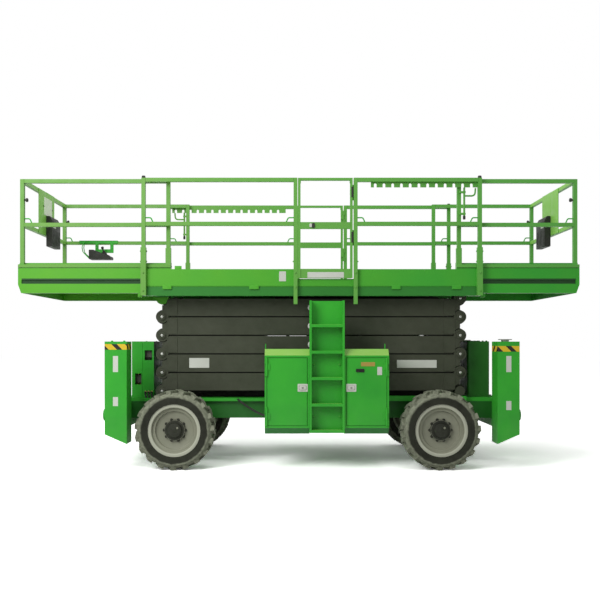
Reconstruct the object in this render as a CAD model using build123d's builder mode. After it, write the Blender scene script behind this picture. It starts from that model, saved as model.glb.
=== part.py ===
"""Rough-terrain scissor lift with roll-out decks at both ends and four box outriggers.

Millimetres, +Z up, +X from the steered end to the tank end, -Y the side with the gate.
The origin is on the floor, below the middle of the outline.
"""

import math
import os

from build123d import *

os.makedirs("parts", exist_ok=True)

# Whole machine
OVERALL_WIDTH = 2290
PLATFORM_LENGTH = 3980
PLATFORM_WIDTH = 1830
FRONT_REACH = 1450
REAR_REACH = 1150
SEAT_GAP = 0.3
MOVE_GAP = 6

# Wheels, axles and steering
TYRE_D = 910
TYRE_W = 300
TYRE_SHOULDER = 32
TYRE_FLATS = 38
LUG_COUNT = 19
LUG_DEPTH = 32
LUG_W = 62
LUG_L = 144
LUG_Y = 58
LUG_SLANT = 24
RIM_D = 598
RIM_W = 276
RIM_WALL = 26
DISC_T = 24
DISC_OUT = 46
HUB_D = 232
HUB_LENGTH = 112
SPINDLE_D = 90
SPINDLE_DEPTH = 70
FRONT_AXLE_IN = 224
REAR_AXLE_IN = 322
KINGPIN_IN = 115
DRIVE_BEAM_Y = 740
HUB_IN = 30
KINGPIN_BARREL_D = 120
FORK_PLATE = 36
AXLE_BEAM_H = 150
AXLE_BEAM_L = 150
MOTOR_D = 210
STEER_ARM = 150
STEER_ARM_T = 34
TIE_ROD_D = 36
TIE_EYE_T = 44

# Chassis
CHASSIS_PAST_PINS = 550
RAIL_Y_IN = 380
RAIL_Y_OUT = 500
RAIL_Z_LOW = 540
RAIL_Z_HIGH = 790
CROSS_MEMBER_L = 120
END_MEMBER_IN = 300
TRACK_LEDGE_T = 30
LEDGE_START = 250
PIVOT_EAR_R = 82
TOWER_LENGTH = 270
TOWER_WIDTH = 800
TOWER_TOP = 1470
TOWER_WALL = 24
TOWER_FROM_PINS = 140

# Outriggers
BOX_SIDE = 250
BOX_WALL = 16
BOX_TOP = 1467
BOX_LOW_OUT = 415
BOX_LOW_IN = 305
BOX_PLATE = 12
LEG_SIDE = 196
LEG_LENGTH = 880
LEG_PAD_H = 90
FOOT_H = 40
FOOT_SIDE = 208
FOOT_ABOVE_LIP = 20
BEAM_Z_LOW = 440
BEAM_Z_HIGH = 760
BEAM_L = 140
BOSS_R = 65
BOSS_Z = 626
BOSS_OUT = 30
BOX_PAST_RAILS = 10
EYE_Y = 250
EYE_Z = 500
EYE_OUT = 75
EYE_PLATE_R = 45
EYE_PLATE_T = 24
EYE_HOLE_R = 22

# Cabinets and ladders
CABINET_Y_IN = 700
CABINET_Y_OUT = 1100
CABINET_LOW = 410
CABINET_HIGH = 1381
CABINET_BEVEL = 73
CABINET_WALL = 25
FRONT_CABINET_L = 510
REAR_CABINET_L = 507
LADDER_WIDTH = 398
LADDER_X = 170
LADDER_Y_IN = 1000
LADDER_Y_OUT = 1140
LADDER_LOW = 430
LADDER_HIGH = 1933
LADDER_BACK_T = 12
STRINGER_T = 24
TREAD_PITCH = 300
TREAD_T = 28
TREAD_COUNT = 5
DOOR_FRAME = 22
HINGE_R = 11
HINGE_L = 70
BRACKET_L = 60
BRACKET_H = 130
ENGINE_L = 420
ENGINE_W = 270
ENGINE_H = 520

# Scissor stack
LEVELS = 5
PIN_INSET = 200
BASE_PIN_Z = 873
LEVEL_PITCH = 223.2
ARM_GAP = 15.2
ARM_T = 90
OUTER_ARM_Y = 530
INNER_ARM_Y = 425
LOBE_R = 75
LOBE_CLEAR = 10
PIN_R = 35
PIN_HEAD_R = 46
PIN_HEAD_T = 12
ROLLER_R = 60
CROSS_TUBE_R = 55
CROSS_TUBE_IN = 200

# Lift cylinders
BARREL_R = 75
ROD_R = 45
CYLINDER_Y = 220
CYLINDER_FOOT_IN = 480
CYLINDER_HEAD = 400
CYLINDER_END = 105
ROD_END = 115
BARREL_CLEAR = 50
CROSSHEAD_R = 58
EYE_R = 95
CYLINDER_PIN_R = 40
FOOT_LEVEL = LEVELS - 3
HEAD_LEVEL = LEVELS - 1

# Platform
FLOOR_ABOVE_PINS = 211
FLOOR_T = 20
FASCIA_LOW = 14
FASCIA_HIGH = 325
FASCIA_T = 15
FASCIA_CHANNEL_H = 114
FASCIA_CHANNEL_T = 6
POST = 45
POST_FROM_END = 31.5
FLANGE_T = 32
DECK_SLOT = 75
SLOT_WEB = 20
BEARER_H = 90
BEARER_L = 60
BEARER_COUNT = 8
TRACK_W = 90
TOP_RAIL_Z = 3350
MID_RAIL_SHARE = 0.555
GATE_POST_FRONT = -188
GATE_POST_REAR = 512
GATE_POST_DROP = 100
GATE_TUBE = 30
GATE_BAR_H = 78
GATE_BAR_UP = 19
SOCKET_OVER = 8
SOCKET_H = 250
CAP_R = 19
CAP_H = 26
GATE_HINGE_R = 8
GATE_HINGE_L = 60
COMB_T = 10
COMB_H = 60
COMB_PITCH = 102
COMB_NOTCH_R = 16
COMB_NOTCH_H = 30
COMB_FROM_GATE = 180
COMB_FROM_POST = 50
COMB_SHORT = 135

# Roll-out decks
EXT_BEAM_T = 55
EXT_BEAM_SLOT_Z = 118
EXT_BEAM_SLOT_H = 34
FRONT_OVERLAP = 340
REAR_OVERLAP = 290
EXT_BEAM_HIGH = 339
EXT_TOE = 66
EXT_FLOOR_T = 14
EXT_END_T = 40
EXT_RAKE_H = 100
EXT_RAKE_L = 36
DOC_W = 330
DOC_T = 80
DOC_H = 390
DOC_DROP = 158
DOC_PLATE_T = 8
DOC_Y = 100
CONTROL_L = 300
CONTROL_W = 170
CONTROL_H = 130
CONTROL_SLOPE_LOW = 92
CONTROL_TOP_L = 90
CONTROL_X = -2860
CONTROL_DROP = 90
CONTROL_BRACKET_T = 10
STICK_R = 14
STICK_H = 70

# Places that follow from the sizes above
DECK_X = (FRONT_REACH - REAR_REACH) / 2
HALF_W = OVERALL_WIDTH / 2
WHEEL_Y = HALF_W - TYRE_W / 2
WHEEL_Z = TYRE_D / 2
PIN_SPAN = PLATFORM_LENGTH - 2 * PIN_INSET
LEFT_PIN_X = DECK_X - PIN_SPAN / 2
RIGHT_PIN_X = DECK_X + PIN_SPAN / 2
FRONT_AXLE_X = LEFT_PIN_X + FRONT_AXLE_IN
REAR_AXLE_X = RIGHT_PIN_X - REAR_AXLE_IN
KINGPIN_Y = WHEEL_Y - KINGPIN_IN
TOP_PIN_Z = BASE_PIN_Z + LEVELS * LEVEL_PITCH
STOWED = math.atan2(LEVEL_PITCH, PIN_SPAN)
CHASSIS_X0 = LEFT_PIN_X - CHASSIS_PAST_PINS
CHASSIS_X1 = RIGHT_PIN_X + CHASSIS_PAST_PINS
FLOOR_Z = TOP_PIN_Z + FLOOR_ABOVE_PINS
MID_RAIL_Z = FLOOR_Z + MID_RAIL_SHARE * (TOP_RAIL_Z - FLOOR_Z)
DECK_HALF_W = PLATFORM_WIDTH / 2
FASCIA_Y = DECK_HALF_W - POST
SLOT_Y_OUT = FASCIA_Y - FASCIA_T
SLOT_Y_IN = SLOT_Y_OUT - DECK_SLOT
EXT_BEAM_Y_OUT = SLOT_Y_OUT - (DECK_SLOT - EXT_BEAM_T) / 2
EXT_BEAM_Y_IN = EXT_BEAM_Y_OUT - EXT_BEAM_T
FASCIA_Z0 = TOP_PIN_Z + FASCIA_LOW
FASCIA_Z1 = TOP_PIN_Z + FASCIA_HIGH
DECK_X0 = DECK_X - PLATFORM_LENGTH / 2
DECK_X1 = DECK_X + PLATFORM_LENGTH / 2
SIDES = (("near", -1), ("far", 1))


def span(a, b):
    """The two limits in rising order."""
    return (min(a, b), max(a, b))


def block(x, y, z, mode=Mode.ADD):
    """A rectangular block between two limits on each axis."""
    with Locations(((x[0] + x[1]) / 2, (y[0] + y[1]) / 2, (z[0] + z[1]) / 2)):
        Box(x[1] - x[0], y[1] - y[0], z[1] - z[0], mode=mode)


def rod_y(x, z, y, radius, mode=Mode.ADD):
    """A round bar across the machine, between two limits on Y."""
    with Locations(Location((x, (y[0] + y[1]) / 2, z), (90, 0, 0))):
        Cylinder(radius, y[1] - y[0], mode=mode)


def rod_z(x, y, z, radius, mode=Mode.ADD):
    """An upright round bar between two limits on Z."""
    with Locations((x, y, (z[0] + z[1]) / 2)):
        Cylinder(radius, z[1] - z[0], mode=mode)


def write(part, label):
    """Name a part and write it."""
    part.label = label
    export_step(part, f"parts/{label}.step")


def finish(builder, label):
    """Write a finished piece under its name."""
    write(builder.part, label)


# Chassis frame: two box rails with cross members, pivot ears at the steered end,
# a roller ledge at the tank end and brackets for the cabinets
LEDGE_TOP = BASE_PIN_Z - ROLLER_R - SEAT_GAP
LEDGE_LOW = RAIL_Z_HIGH - MOVE_GAP
LEDGE_X0 = DECK_X + LEDGE_START
LEDGE_X1 = RIGHT_PIN_X + LOBE_R
CABINET_LADDER_X0 = DECK_X + LADDER_X - LADDER_WIDTH / 2 - SEAT_GAP
CABINET_LADDER_X1 = DECK_X + LADDER_X + LADDER_WIDTH / 2 + SEAT_GAP
CABINET_SPANS = {
    "front": (CABINET_LADDER_X0 - FRONT_CABINET_L, CABINET_LADDER_X0),
    "rear": (CABINET_LADDER_X1, CABINET_LADDER_X1 + REAR_CABINET_L),
}
CROSS_MEMBER_X = [CHASSIS_X0 + END_MEMBER_IN, DECK_X - PIN_SPAN / 4, DECK_X, DECK_X + PIN_SPAN / 4,
                  CHASSIS_X1 - END_MEMBER_IN]
BRACKET_Z0 = CABINET_LOW + CABINET_BEVEL
with BuildPart() as chassis_frame:
    for _, s in SIDES:
        block((CHASSIS_X0, CHASSIS_X1), span(s * RAIL_Y_IN, s * RAIL_Y_OUT), (RAIL_Z_LOW, RAIL_Z_HIGH))
        block((LEFT_PIN_X - PIVOT_EAR_R, LEFT_PIN_X + PIVOT_EAR_R),
              span(s * INNER_ARM_Y, s * RAIL_Y_OUT), (RAIL_Z_HIGH, BASE_PIN_Z))
        rod_y(LEFT_PIN_X, BASE_PIN_Z, span(s * INNER_ARM_Y, s * RAIL_Y_OUT), PIVOT_EAR_R)
        block((LEDGE_X0, LEDGE_X1), span(s * (OUTER_ARM_Y - MOVE_GAP), s * (OUTER_ARM_Y + ARM_T)),
              (LEDGE_LOW - TRACK_LEDGE_T, LEDGE_TOP))
        block((LEDGE_X0, LEDGE_X1), span(s * RAIL_Y_OUT, s * (OUTER_ARM_Y + ARM_T)),
              (LEDGE_LOW - TRACK_LEDGE_T, LEDGE_LOW))
        for x0, x1 in CABINET_SPANS.values():
            for x in (x0 + BRACKET_L, x1 - BRACKET_L):
                block((x - BRACKET_L / 2, x + BRACKET_L / 2), span(s * RAIL_Y_IN, s * CABINET_Y_IN),
                      (BRACKET_Z0, BRACKET_Z0 + BRACKET_H))
    for x in CROSS_MEMBER_X:
        block((x - CROSS_MEMBER_L / 2, x + CROSS_MEMBER_L / 2), (-RAIL_Y_IN, RAIL_Y_IN),
              (RAIL_Z_LOW, RAIL_Z_HIGH - CROSS_MEMBER_L / 2))
    for _, s in SIDES:
        rod_y(LEFT_PIN_X, BASE_PIN_Z, span(s * RAIL_Y_IN, s * OUTER_ARM_Y), PIN_R + SEAT_GAP, Mode.SUBTRACT)
finish(chassis_frame, "chassis_frame")

# Steer axle: a beam under the rails with a fork of two plates round each kingpin
KNUCKLE_H = AXLE_BEAM_H + 2 * MOVE_GAP
FORK_Z0 = WHEEL_Z - KNUCKLE_H / 2
FORK_Z1 = WHEEL_Z + KNUCKLE_H / 2
with BuildPart() as front_axle:
    block((FRONT_AXLE_X - AXLE_BEAM_L / 2, FRONT_AXLE_X + AXLE_BEAM_L / 2),
          (-KINGPIN_Y + KINGPIN_BARREL_D, KINGPIN_Y - KINGPIN_BARREL_D),
          (FORK_Z0 - FORK_PLATE, RAIL_Z_LOW))
    for _, s in SIDES:
        for z in ((FORK_Z0 - FORK_PLATE, FORK_Z0), (FORK_Z1, FORK_Z1 + FORK_PLATE)):
            block((FRONT_AXLE_X - KINGPIN_BARREL_D / 2, FRONT_AXLE_X + KINGPIN_BARREL_D / 2),
                  span(s * (KINGPIN_Y - KINGPIN_BARREL_D), s * KINGPIN_Y), z)
            rod_z(FRONT_AXLE_X, s * KINGPIN_Y, z, KINGPIN_BARREL_D / 2)
    block((FRONT_AXLE_X - AXLE_BEAM_L / 2, FRONT_AXLE_X + AXLE_BEAM_L / 2),
          (-RAIL_Y_OUT, RAIL_Y_OUT), (FORK_Z1, RAIL_Z_LOW))
finish(front_axle, "front_axle")

# Drive axle: a plain beam with a round motor housing at each end
HUB_IN_Y = WHEEL_Y + DISC_OUT + DISC_T - HUB_LENGTH + HUB_IN
with BuildPart() as rear_axle:
    block((REAR_AXLE_X - AXLE_BEAM_L / 2, REAR_AXLE_X + AXLE_BEAM_L / 2), (-DRIVE_BEAM_Y, DRIVE_BEAM_Y),
          (WHEEL_Z - AXLE_BEAM_H / 2, RAIL_Z_LOW))
    for _, s in SIDES:
        rod_y(REAR_AXLE_X, WHEEL_Z, span(s * (DRIVE_BEAM_Y - MOTOR_D / 2), s * (HUB_IN_Y - SEAT_GAP)),
              MOTOR_D / 2)
        rod_y(REAR_AXLE_X, WHEEL_Z, span(s * (HUB_IN_Y - MOTOR_D / 2), s * (HUB_IN_Y + SPINDLE_DEPTH)),
              SPINDLE_D / 2)
finish(rear_axle, "rear_axle")

# Steering knuckles: an upright barrel between the fork plates, a motor housing and an arm
ARM_Z = (WHEEL_Z - STEER_ARM_T / 2, WHEEL_Z + STEER_ARM_T / 2)
for side, s in SIDES:
    with BuildPart() as knuckle:
        rod_z(FRONT_AXLE_X, s * KINGPIN_Y, (FORK_Z0 + SEAT_GAP, FORK_Z1 - SEAT_GAP), KINGPIN_BARREL_D / 2)
        rod_y(FRONT_AXLE_X, WHEEL_Z, span(s * KINGPIN_Y, s * (HUB_IN_Y - SEAT_GAP)), AXLE_BEAM_H / 2)
        rod_y(FRONT_AXLE_X, WHEEL_Z, span(s * KINGPIN_Y, s * (HUB_IN_Y + SPINDLE_DEPTH)), SPINDLE_D / 2)
        block((FRONT_AXLE_X, FRONT_AXLE_X + STEER_ARM),
              span(s * (KINGPIN_Y - TIE_ROD_D), s * (KINGPIN_Y + TIE_ROD_D)), ARM_Z)
        rod_z(FRONT_AXLE_X + STEER_ARM, s * KINGPIN_Y, ARM_Z, TIE_ROD_D)
    finish(knuckle, f"knuckle_{side}")

# Tie rod under the two steering arms
TIE_ROD_Z = ARM_Z[0] - SEAT_GAP - TIE_EYE_T / 2
with BuildPart() as tie_rod:
    rod_y(FRONT_AXLE_X + STEER_ARM, TIE_ROD_Z, (-KINGPIN_Y, KINGPIN_Y), TIE_ROD_D / 2)
    for _, s in SIDES:
        rod_z(FRONT_AXLE_X + STEER_ARM, s * KINGPIN_Y,
              (TIE_ROD_Z - TIE_EYE_T / 2, TIE_ROD_Z + TIE_EYE_T / 2), TIE_ROD_D)
finish(tie_rod, "tie_rod")

# Wheels: a dished rim with a drive hub, and a foam-filled tyre round it,
# with slanted lugs that alternate between the two halves of the tread
WHEELS = [
    (f"{end}_{side}", x, s)
    for end, x in (("front", FRONT_AXLE_X), ("rear", REAR_AXLE_X))
    for side, s in SIDES
]
RIM_R = RIM_D / 2
HUB_R = HUB_D / 2
CARCASS_R = TYRE_D / 2 - LUG_DEPTH
LUG_LEAN = math.radians(LUG_SLANT)
LUG_REACH = (LUG_W * math.cos(LUG_LEAN) + LUG_L * math.sin(LUG_LEAN)) / 2
LUG_TOP_R = math.sqrt(WHEEL_Z ** 2 - LUG_REACH ** 2)
with BuildPart() as tyre:
    with BuildSketch(Plane.XZ):
        RegularPolygon(CARCASS_R, TYRE_FLATS, major_radius=False)
    extrude(amount=TYRE_W / 2, both=True)
    chamfer(tyre.faces().filter_by(Axis.Y).edges(), TYRE_SHOULDER)
    for i in range(LUG_COUNT):
        for half in (-1, 1):
            seat = Location((0, 0, 0), (0, 360 * (i + half / 4) / LUG_COUNT, 0))
            lug = Location((0, half * LUG_Y, LUG_TOP_R - LUG_DEPTH), (0, 0, half * LUG_SLANT))
            with Locations(seat * lug):
                Box(LUG_W, LUG_L, 2 * LUG_DEPTH)
    with BuildSketch(Plane.XZ):
        RegularPolygon(RIM_R + SEAT_GAP, TYRE_FLATS, major_radius=False)
    extrude(amount=TYRE_W, both=True, mode=Mode.SUBTRACT)
for label, x, s in WHEELS:
    wheel_plane = Plane(origin=(x, s * WHEEL_Y, WHEEL_Z), x_dir=(1, 0, 0), z_dir=(0, 0, 1))
    with BuildPart() as rim:
        with BuildSketch(wheel_plane):
            with Locations((RIM_R - RIM_WALL / 2, 0)):
                Rectangle(RIM_WALL, RIM_W)
            with Locations(((HUB_R + RIM_R - RIM_WALL) / 2, s * (DISC_OUT + DISC_T / 2))):
                Rectangle(RIM_R - RIM_WALL - HUB_R + 2, DISC_T)
            hub_mid = (HUB_IN_Y + HUB_LENGTH / 2 - WHEEL_Y) * s
            with Locations((HUB_R / 2, hub_mid)):
                Rectangle(HUB_R, HUB_LENGTH)
            bore_end = HUB_IN_Y + SPINDLE_DEPTH + SEAT_GAP - WHEEL_Y
            bore_start = HUB_IN_Y - WHEEL_Y
            with Locations(((SPINDLE_D / 2 + SEAT_GAP) / 2, s * (bore_start + bore_end) / 2)):
                Rectangle(SPINDLE_D / 2 + SEAT_GAP, bore_end - bore_start, mode=Mode.SUBTRACT)
        revolve(axis=Axis((x, s * WHEEL_Y, WHEEL_Z), (0, 1, 0)))
    finish(rim, f"rim_{label}")
    write(tyre.part.moved(Location((x, s * WHEEL_Y, WHEEL_Z))), f"tyre_{label}")

# Outrigger boxes: upright square tubes with a slanted lower end, carried by a beam across each end
for end, e, x_end in (("front", -1, CHASSIS_X0), ("rear", 1, CHASSIS_X1)):
    x_out = x_end + e * BOX_PAST_RAILS
    x_in = x_out - e * BOX_SIDE
    for_beam = span(x_out - e * MOVE_GAP, x_out - e * (MOVE_GAP + BEAM_L))
    with BuildPart() as boxes:
        for _, s in SIDES:
            y_out = s * HALF_W
            y_in = s * (HALF_W - BOX_SIDE)
            block(span(x_out, x_in), span(y_out, y_in), (BOX_LOW_IN, BOX_TOP))
            boss_at = (x_out + e * BOSS_OUT / 2, s * (HALF_W - BOX_SIDE / 2), BOSS_Z)
            with Locations(Location(boss_at, (0, 90, 0))):
                Cylinder(BOSS_R, BOSS_OUT)
            with BuildSketch(Plane.XZ.offset(HALF_W + BOX_SIDE)):
                with BuildLine():
                    Polyline((x_out + e, BOX_LOW_IN - 1), (x_out + e, BOX_LOW_OUT), (x_in, BOX_LOW_IN),
                             (x_in, BOX_LOW_IN - 1), close=True)
                make_face()
            extrude(amount=-2 * (HALF_W + BOX_SIDE), mode=Mode.SUBTRACT)
            block(span(x_out - e * BOX_WALL, x_in + e * BOX_WALL),
                  span(y_out - s * BOX_WALL, y_in + s * BOX_WALL),
                  (BOX_LOW_IN - BOX_WALL, BOX_TOP - BOX_PLATE), Mode.SUBTRACT)
        block(for_beam, (-HALF_W + BOX_SIDE, HALF_W - BOX_SIDE), (BEAM_Z_LOW, BEAM_Z_HIGH))
        for _, s in SIDES:
            block(span(CHASSIS_X0 - BOX_SIDE, CHASSIS_X1 + BOX_SIDE), span(s * RAIL_Y_IN, s * RAIL_Y_OUT),
                  (RAIL_Z_LOW, RAIL_Z_HIGH), Mode.SUBTRACT)
        for _, s in SIDES:
            eye_x = x_out + e * (EYE_OUT - EYE_PLATE_R)
            eye_y = (s * EYE_Y - EYE_PLATE_T / 2, s * EYE_Y + EYE_PLATE_T / 2)
            block(span(x_out - e * BEAM_L / 2, eye_x), eye_y, (EYE_Z - EYE_PLATE_R, EYE_Z + EYE_PLATE_R))
            rod_y(eye_x, EYE_Z, eye_y, EYE_PLATE_R)
            rod_y(eye_x, EYE_Z, eye_y, EYE_HOLE_R, Mode.SUBTRACT)
    finish(boxes, f"{end}_outrigger_boxes")
    for side, s in SIDES:
        x_mid = (x_out + x_in) / 2
        y_mid = s * (HALF_W - BOX_SIDE / 2)
        foot_low = BOX_LOW_OUT + FOOT_ABOVE_LIP
        pad = BOX_SIDE / 2 - BOX_WALL - SEAT_GAP
        with BuildPart() as leg:
            block((x_mid - LEG_SIDE / 2, x_mid + LEG_SIDE / 2), (y_mid - LEG_SIDE / 2, y_mid + LEG_SIDE / 2),
                  (foot_low, foot_low + LEG_LENGTH))
            block((x_mid - FOOT_SIDE / 2, x_mid + FOOT_SIDE / 2),
                  (y_mid - FOOT_SIDE / 2, y_mid + FOOT_SIDE / 2),
                  (foot_low, foot_low + FOOT_H))
            block((x_mid - pad, x_mid + pad), (y_mid - pad, y_mid + pad),
                  (foot_low + LEG_LENGTH - LEG_PAD_H, foot_low + LEG_LENGTH))
        finish(leg, f"outrigger_leg_{end}_{side}")

# End towers on the rails: an open valve tower at the steered end, a closed tank at the other
TOWER_WINDOWS = ((0.58, 0.92, 0.66, 0.84), (0.14, 0.46, 0.22, 0.42))
tower_x0 = LEFT_PIN_X - TOWER_FROM_PINS
with BuildPart() as valve_tower:
    block((tower_x0 - TOWER_LENGTH, tower_x0), (-TOWER_WIDTH / 2, TOWER_WIDTH / 2),
          (RAIL_Z_HIGH, TOWER_TOP))
    block((tower_x0 - TOWER_LENGTH + TOWER_WALL, tower_x0 - TOWER_WALL),
          (-TOWER_WIDTH / 2 + TOWER_WALL, TOWER_WIDTH / 2 - TOWER_WALL),
          (RAIL_Z_HIGH, TOWER_TOP - TOWER_WALL),
          Mode.SUBTRACT)
    for x0, x1, z0, z1 in TOWER_WINDOWS:
        block((tower_x0 - TOWER_LENGTH * (1 - x0), tower_x0 - TOWER_LENGTH * (1 - x1)),
              (-TOWER_WIDTH, TOWER_WIDTH),
              (RAIL_Z_HIGH + z0 * (TOWER_TOP - RAIL_Z_HIGH), RAIL_Z_HIGH + z1 * (TOWER_TOP - RAIL_Z_HIGH)),
              Mode.SUBTRACT)
finish(valve_tower, "valve_tower")

tank_x0 = RIGHT_PIN_X + TOWER_FROM_PINS
with BuildPart() as tank:
    block((tank_x0, tank_x0 + TOWER_LENGTH), (-TOWER_WIDTH / 2, TOWER_WIDTH / 2), (RAIL_Z_HIGH, TOWER_TOP))
    fillet(tank.edges().filter_by(Axis.Z), TOWER_WALL)
finish(tank, "tank")


# Cabinets: bevelled steel housings on both sides of each ladder, open where the door hangs
DOOR_Z = (CABINET_LOW + CABINET_BEVEL + DOOR_FRAME, CABINET_HIGH - CABINET_BEVEL - DOOR_FRAME)


def door_span(end):
    """The door opening's limits along the machine."""
    x0, x1 = CABINET_SPANS[end]
    return (x0 + DOOR_FRAME, x1 - DOOR_FRAME)


def hinge_x(end):
    """The door's hinge line, on the edge away from the ladder."""
    x0, x1 = door_span(end)
    return x0 + MOVE_GAP / 2 if end == "front" else x1 - MOVE_GAP / 2


def cabinet_outline(s, inset):
    """The bevelled section across a cabinet, moved in by a wall."""
    low, high = CABINET_LOW + inset, CABINET_HIGH - inset
    near, out = CABINET_Y_IN + inset, CABINET_Y_OUT - inset
    with Locations((s * (near + out) / 2, (low + high) / 2)):
        shape = Rectangle(out - near, high - low)
    outer_corners = shape.vertices().group_by(Axis.X)[-1 if s > 0 else 0]
    chamfer(outer_corners, CABINET_BEVEL)


HINGE_Z = [DOOR_Z[0] + (DOOR_Z[1] - DOOR_Z[0]) * share for share in (0.14, 0.86)]
for side, s in SIDES:
    with BuildPart() as cabinets:
        for end in CABINET_SPANS:
            x0, x1 = CABINET_SPANS[end]
            with BuildSketch(Plane.YZ.offset(x0)):
                cabinet_outline(s, 0)
            extrude(amount=x1 - x0)
            with BuildSketch(Plane.YZ.offset(x0 + CABINET_WALL)):
                cabinet_outline(s, CABINET_WALL)
            extrude(amount=x1 - x0 - 2 * CABINET_WALL, mode=Mode.SUBTRACT)
            block(door_span(end),
                  span(s * (CABINET_Y_OUT - CABINET_WALL), s * (CABINET_Y_OUT + CABINET_WALL)),
                  DOOR_Z, Mode.SUBTRACT)
            for z in HINGE_Z:
                for step in (-1, 1):
                    z_mid = z + step * HINGE_L
                    z_span = (z_mid - HINGE_L / 2 + SEAT_GAP, z_mid + HINGE_L / 2 - SEAT_GAP)
                    rod_z(hinge_x(end), s * (CABINET_Y_OUT + HINGE_R), z_span, HINGE_R)
                    leaf_x = CABINET_SPANS[end][0] if end == "front" else CABINET_SPANS[end][1]
                    leaf_y = span(s * CABINET_Y_OUT, s * (CABINET_Y_OUT + HINGE_R))
                    block(span(leaf_x, hinge_x(end)), leaf_y, z_span)
    finish(cabinets, f"cabinets_{side}")
    for end in CABINET_SPANS:
        x0, x1 = door_span(end)
        with BuildPart() as door:
            block((x0 + MOVE_GAP, x1 - MOVE_GAP), span(s * (CABINET_Y_OUT - CABINET_WALL), s * CABINET_Y_OUT),
                  (DOOR_Z[0] + MOVE_GAP, DOOR_Z[1] - MOVE_GAP))
            for z in HINGE_Z:
                z_span = (z - HINGE_L / 2, z + HINGE_L / 2)
                rod_z(hinge_x(end), s * (CABINET_Y_OUT + HINGE_R), z_span, HINGE_R)
                into_door = hinge_x(end) + (HINGE_L if end == "front" else -HINGE_L) / 2
                leaf_y = span(s * CABINET_Y_OUT, s * (CABINET_Y_OUT + HINGE_R))
                block(span(hinge_x(end), into_door), leaf_y, z_span)
        finish(door, f"door_{end}_{side}")

# Ladders: a closed back, two stringers and flat treads, one on each side of the machine
with BuildPart() as ladders:
    for _, s in SIDES:
        lx0 = DECK_X + LADDER_X - LADDER_WIDTH / 2
        lx1 = DECK_X + LADDER_X + LADDER_WIDTH / 2
        block((lx0, lx1), span(s * LADDER_Y_IN, s * (LADDER_Y_IN + LADDER_BACK_T)), (LADDER_LOW, LADDER_HIGH))
        for x in ((lx0, lx0 + STRINGER_T), (lx1 - STRINGER_T, lx1)):
            block(x, span(s * LADDER_Y_IN, s * LADDER_Y_OUT), (LADDER_LOW, LADDER_HIGH))
        for i in range(TREAD_COUNT):
            z = LADDER_LOW + i * TREAD_PITCH
            block((lx0, lx1), span(s * LADDER_Y_IN, s * LADDER_Y_OUT), (z, z + TREAD_T))
finish(ladders, "ladders")

# Engine: one plain block on the floor of a far cabinet
ex0, ex1 = CABINET_SPANS["rear"]
with BuildPart() as engine:
    block(((ex0 + ex1 - ENGINE_L) / 2, (ex0 + ex1 + ENGINE_L) / 2),
          (CABINET_Y_IN + CABINET_WALL, CABINET_Y_IN + CABINET_WALL + ENGINE_W),
          (CABINET_LOW + CABINET_WALL, CABINET_LOW + CABINET_WALL + ENGINE_H))
finish(engine, "engine")


# Scissor arms: deep flat bars with a round lobe at two opposite corners for the end pins.
# The other two corners are cut back round the next arm's lobe.
def pin_z(level):
    """Height of the end pins above a level."""
    return BASE_PIN_Z + level * LEVEL_PITCH


def arm(level, y, rises_to_right):
    """One arm of a level between two limits on Y, with its lobes at the pins' corners."""
    low, high = pin_z(level - 1), pin_z(level)
    first, last = (LEFT_PIN_X, RIGHT_PIN_X) if rises_to_right else (RIGHT_PIN_X, LEFT_PIN_X)
    with BuildSketch(Plane.XZ.offset(-y[1])) as profile:
        with Locations(((LEFT_PIN_X + RIGHT_PIN_X) / 2, (low + high) / 2)):
            Rectangle(PIN_SPAN, LEVEL_PITCH - ARM_GAP)
        with Locations((first, low), (last, high)):
            Circle(LOBE_R)
        with Locations((first, high), (last, low)):
            Circle(LOBE_R + LOBE_CLEAR, mode=Mode.SUBTRACT)
    return extrude(profile.sketch, amount=y[1] - y[0], mode=Mode.PRIVATE)


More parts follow.
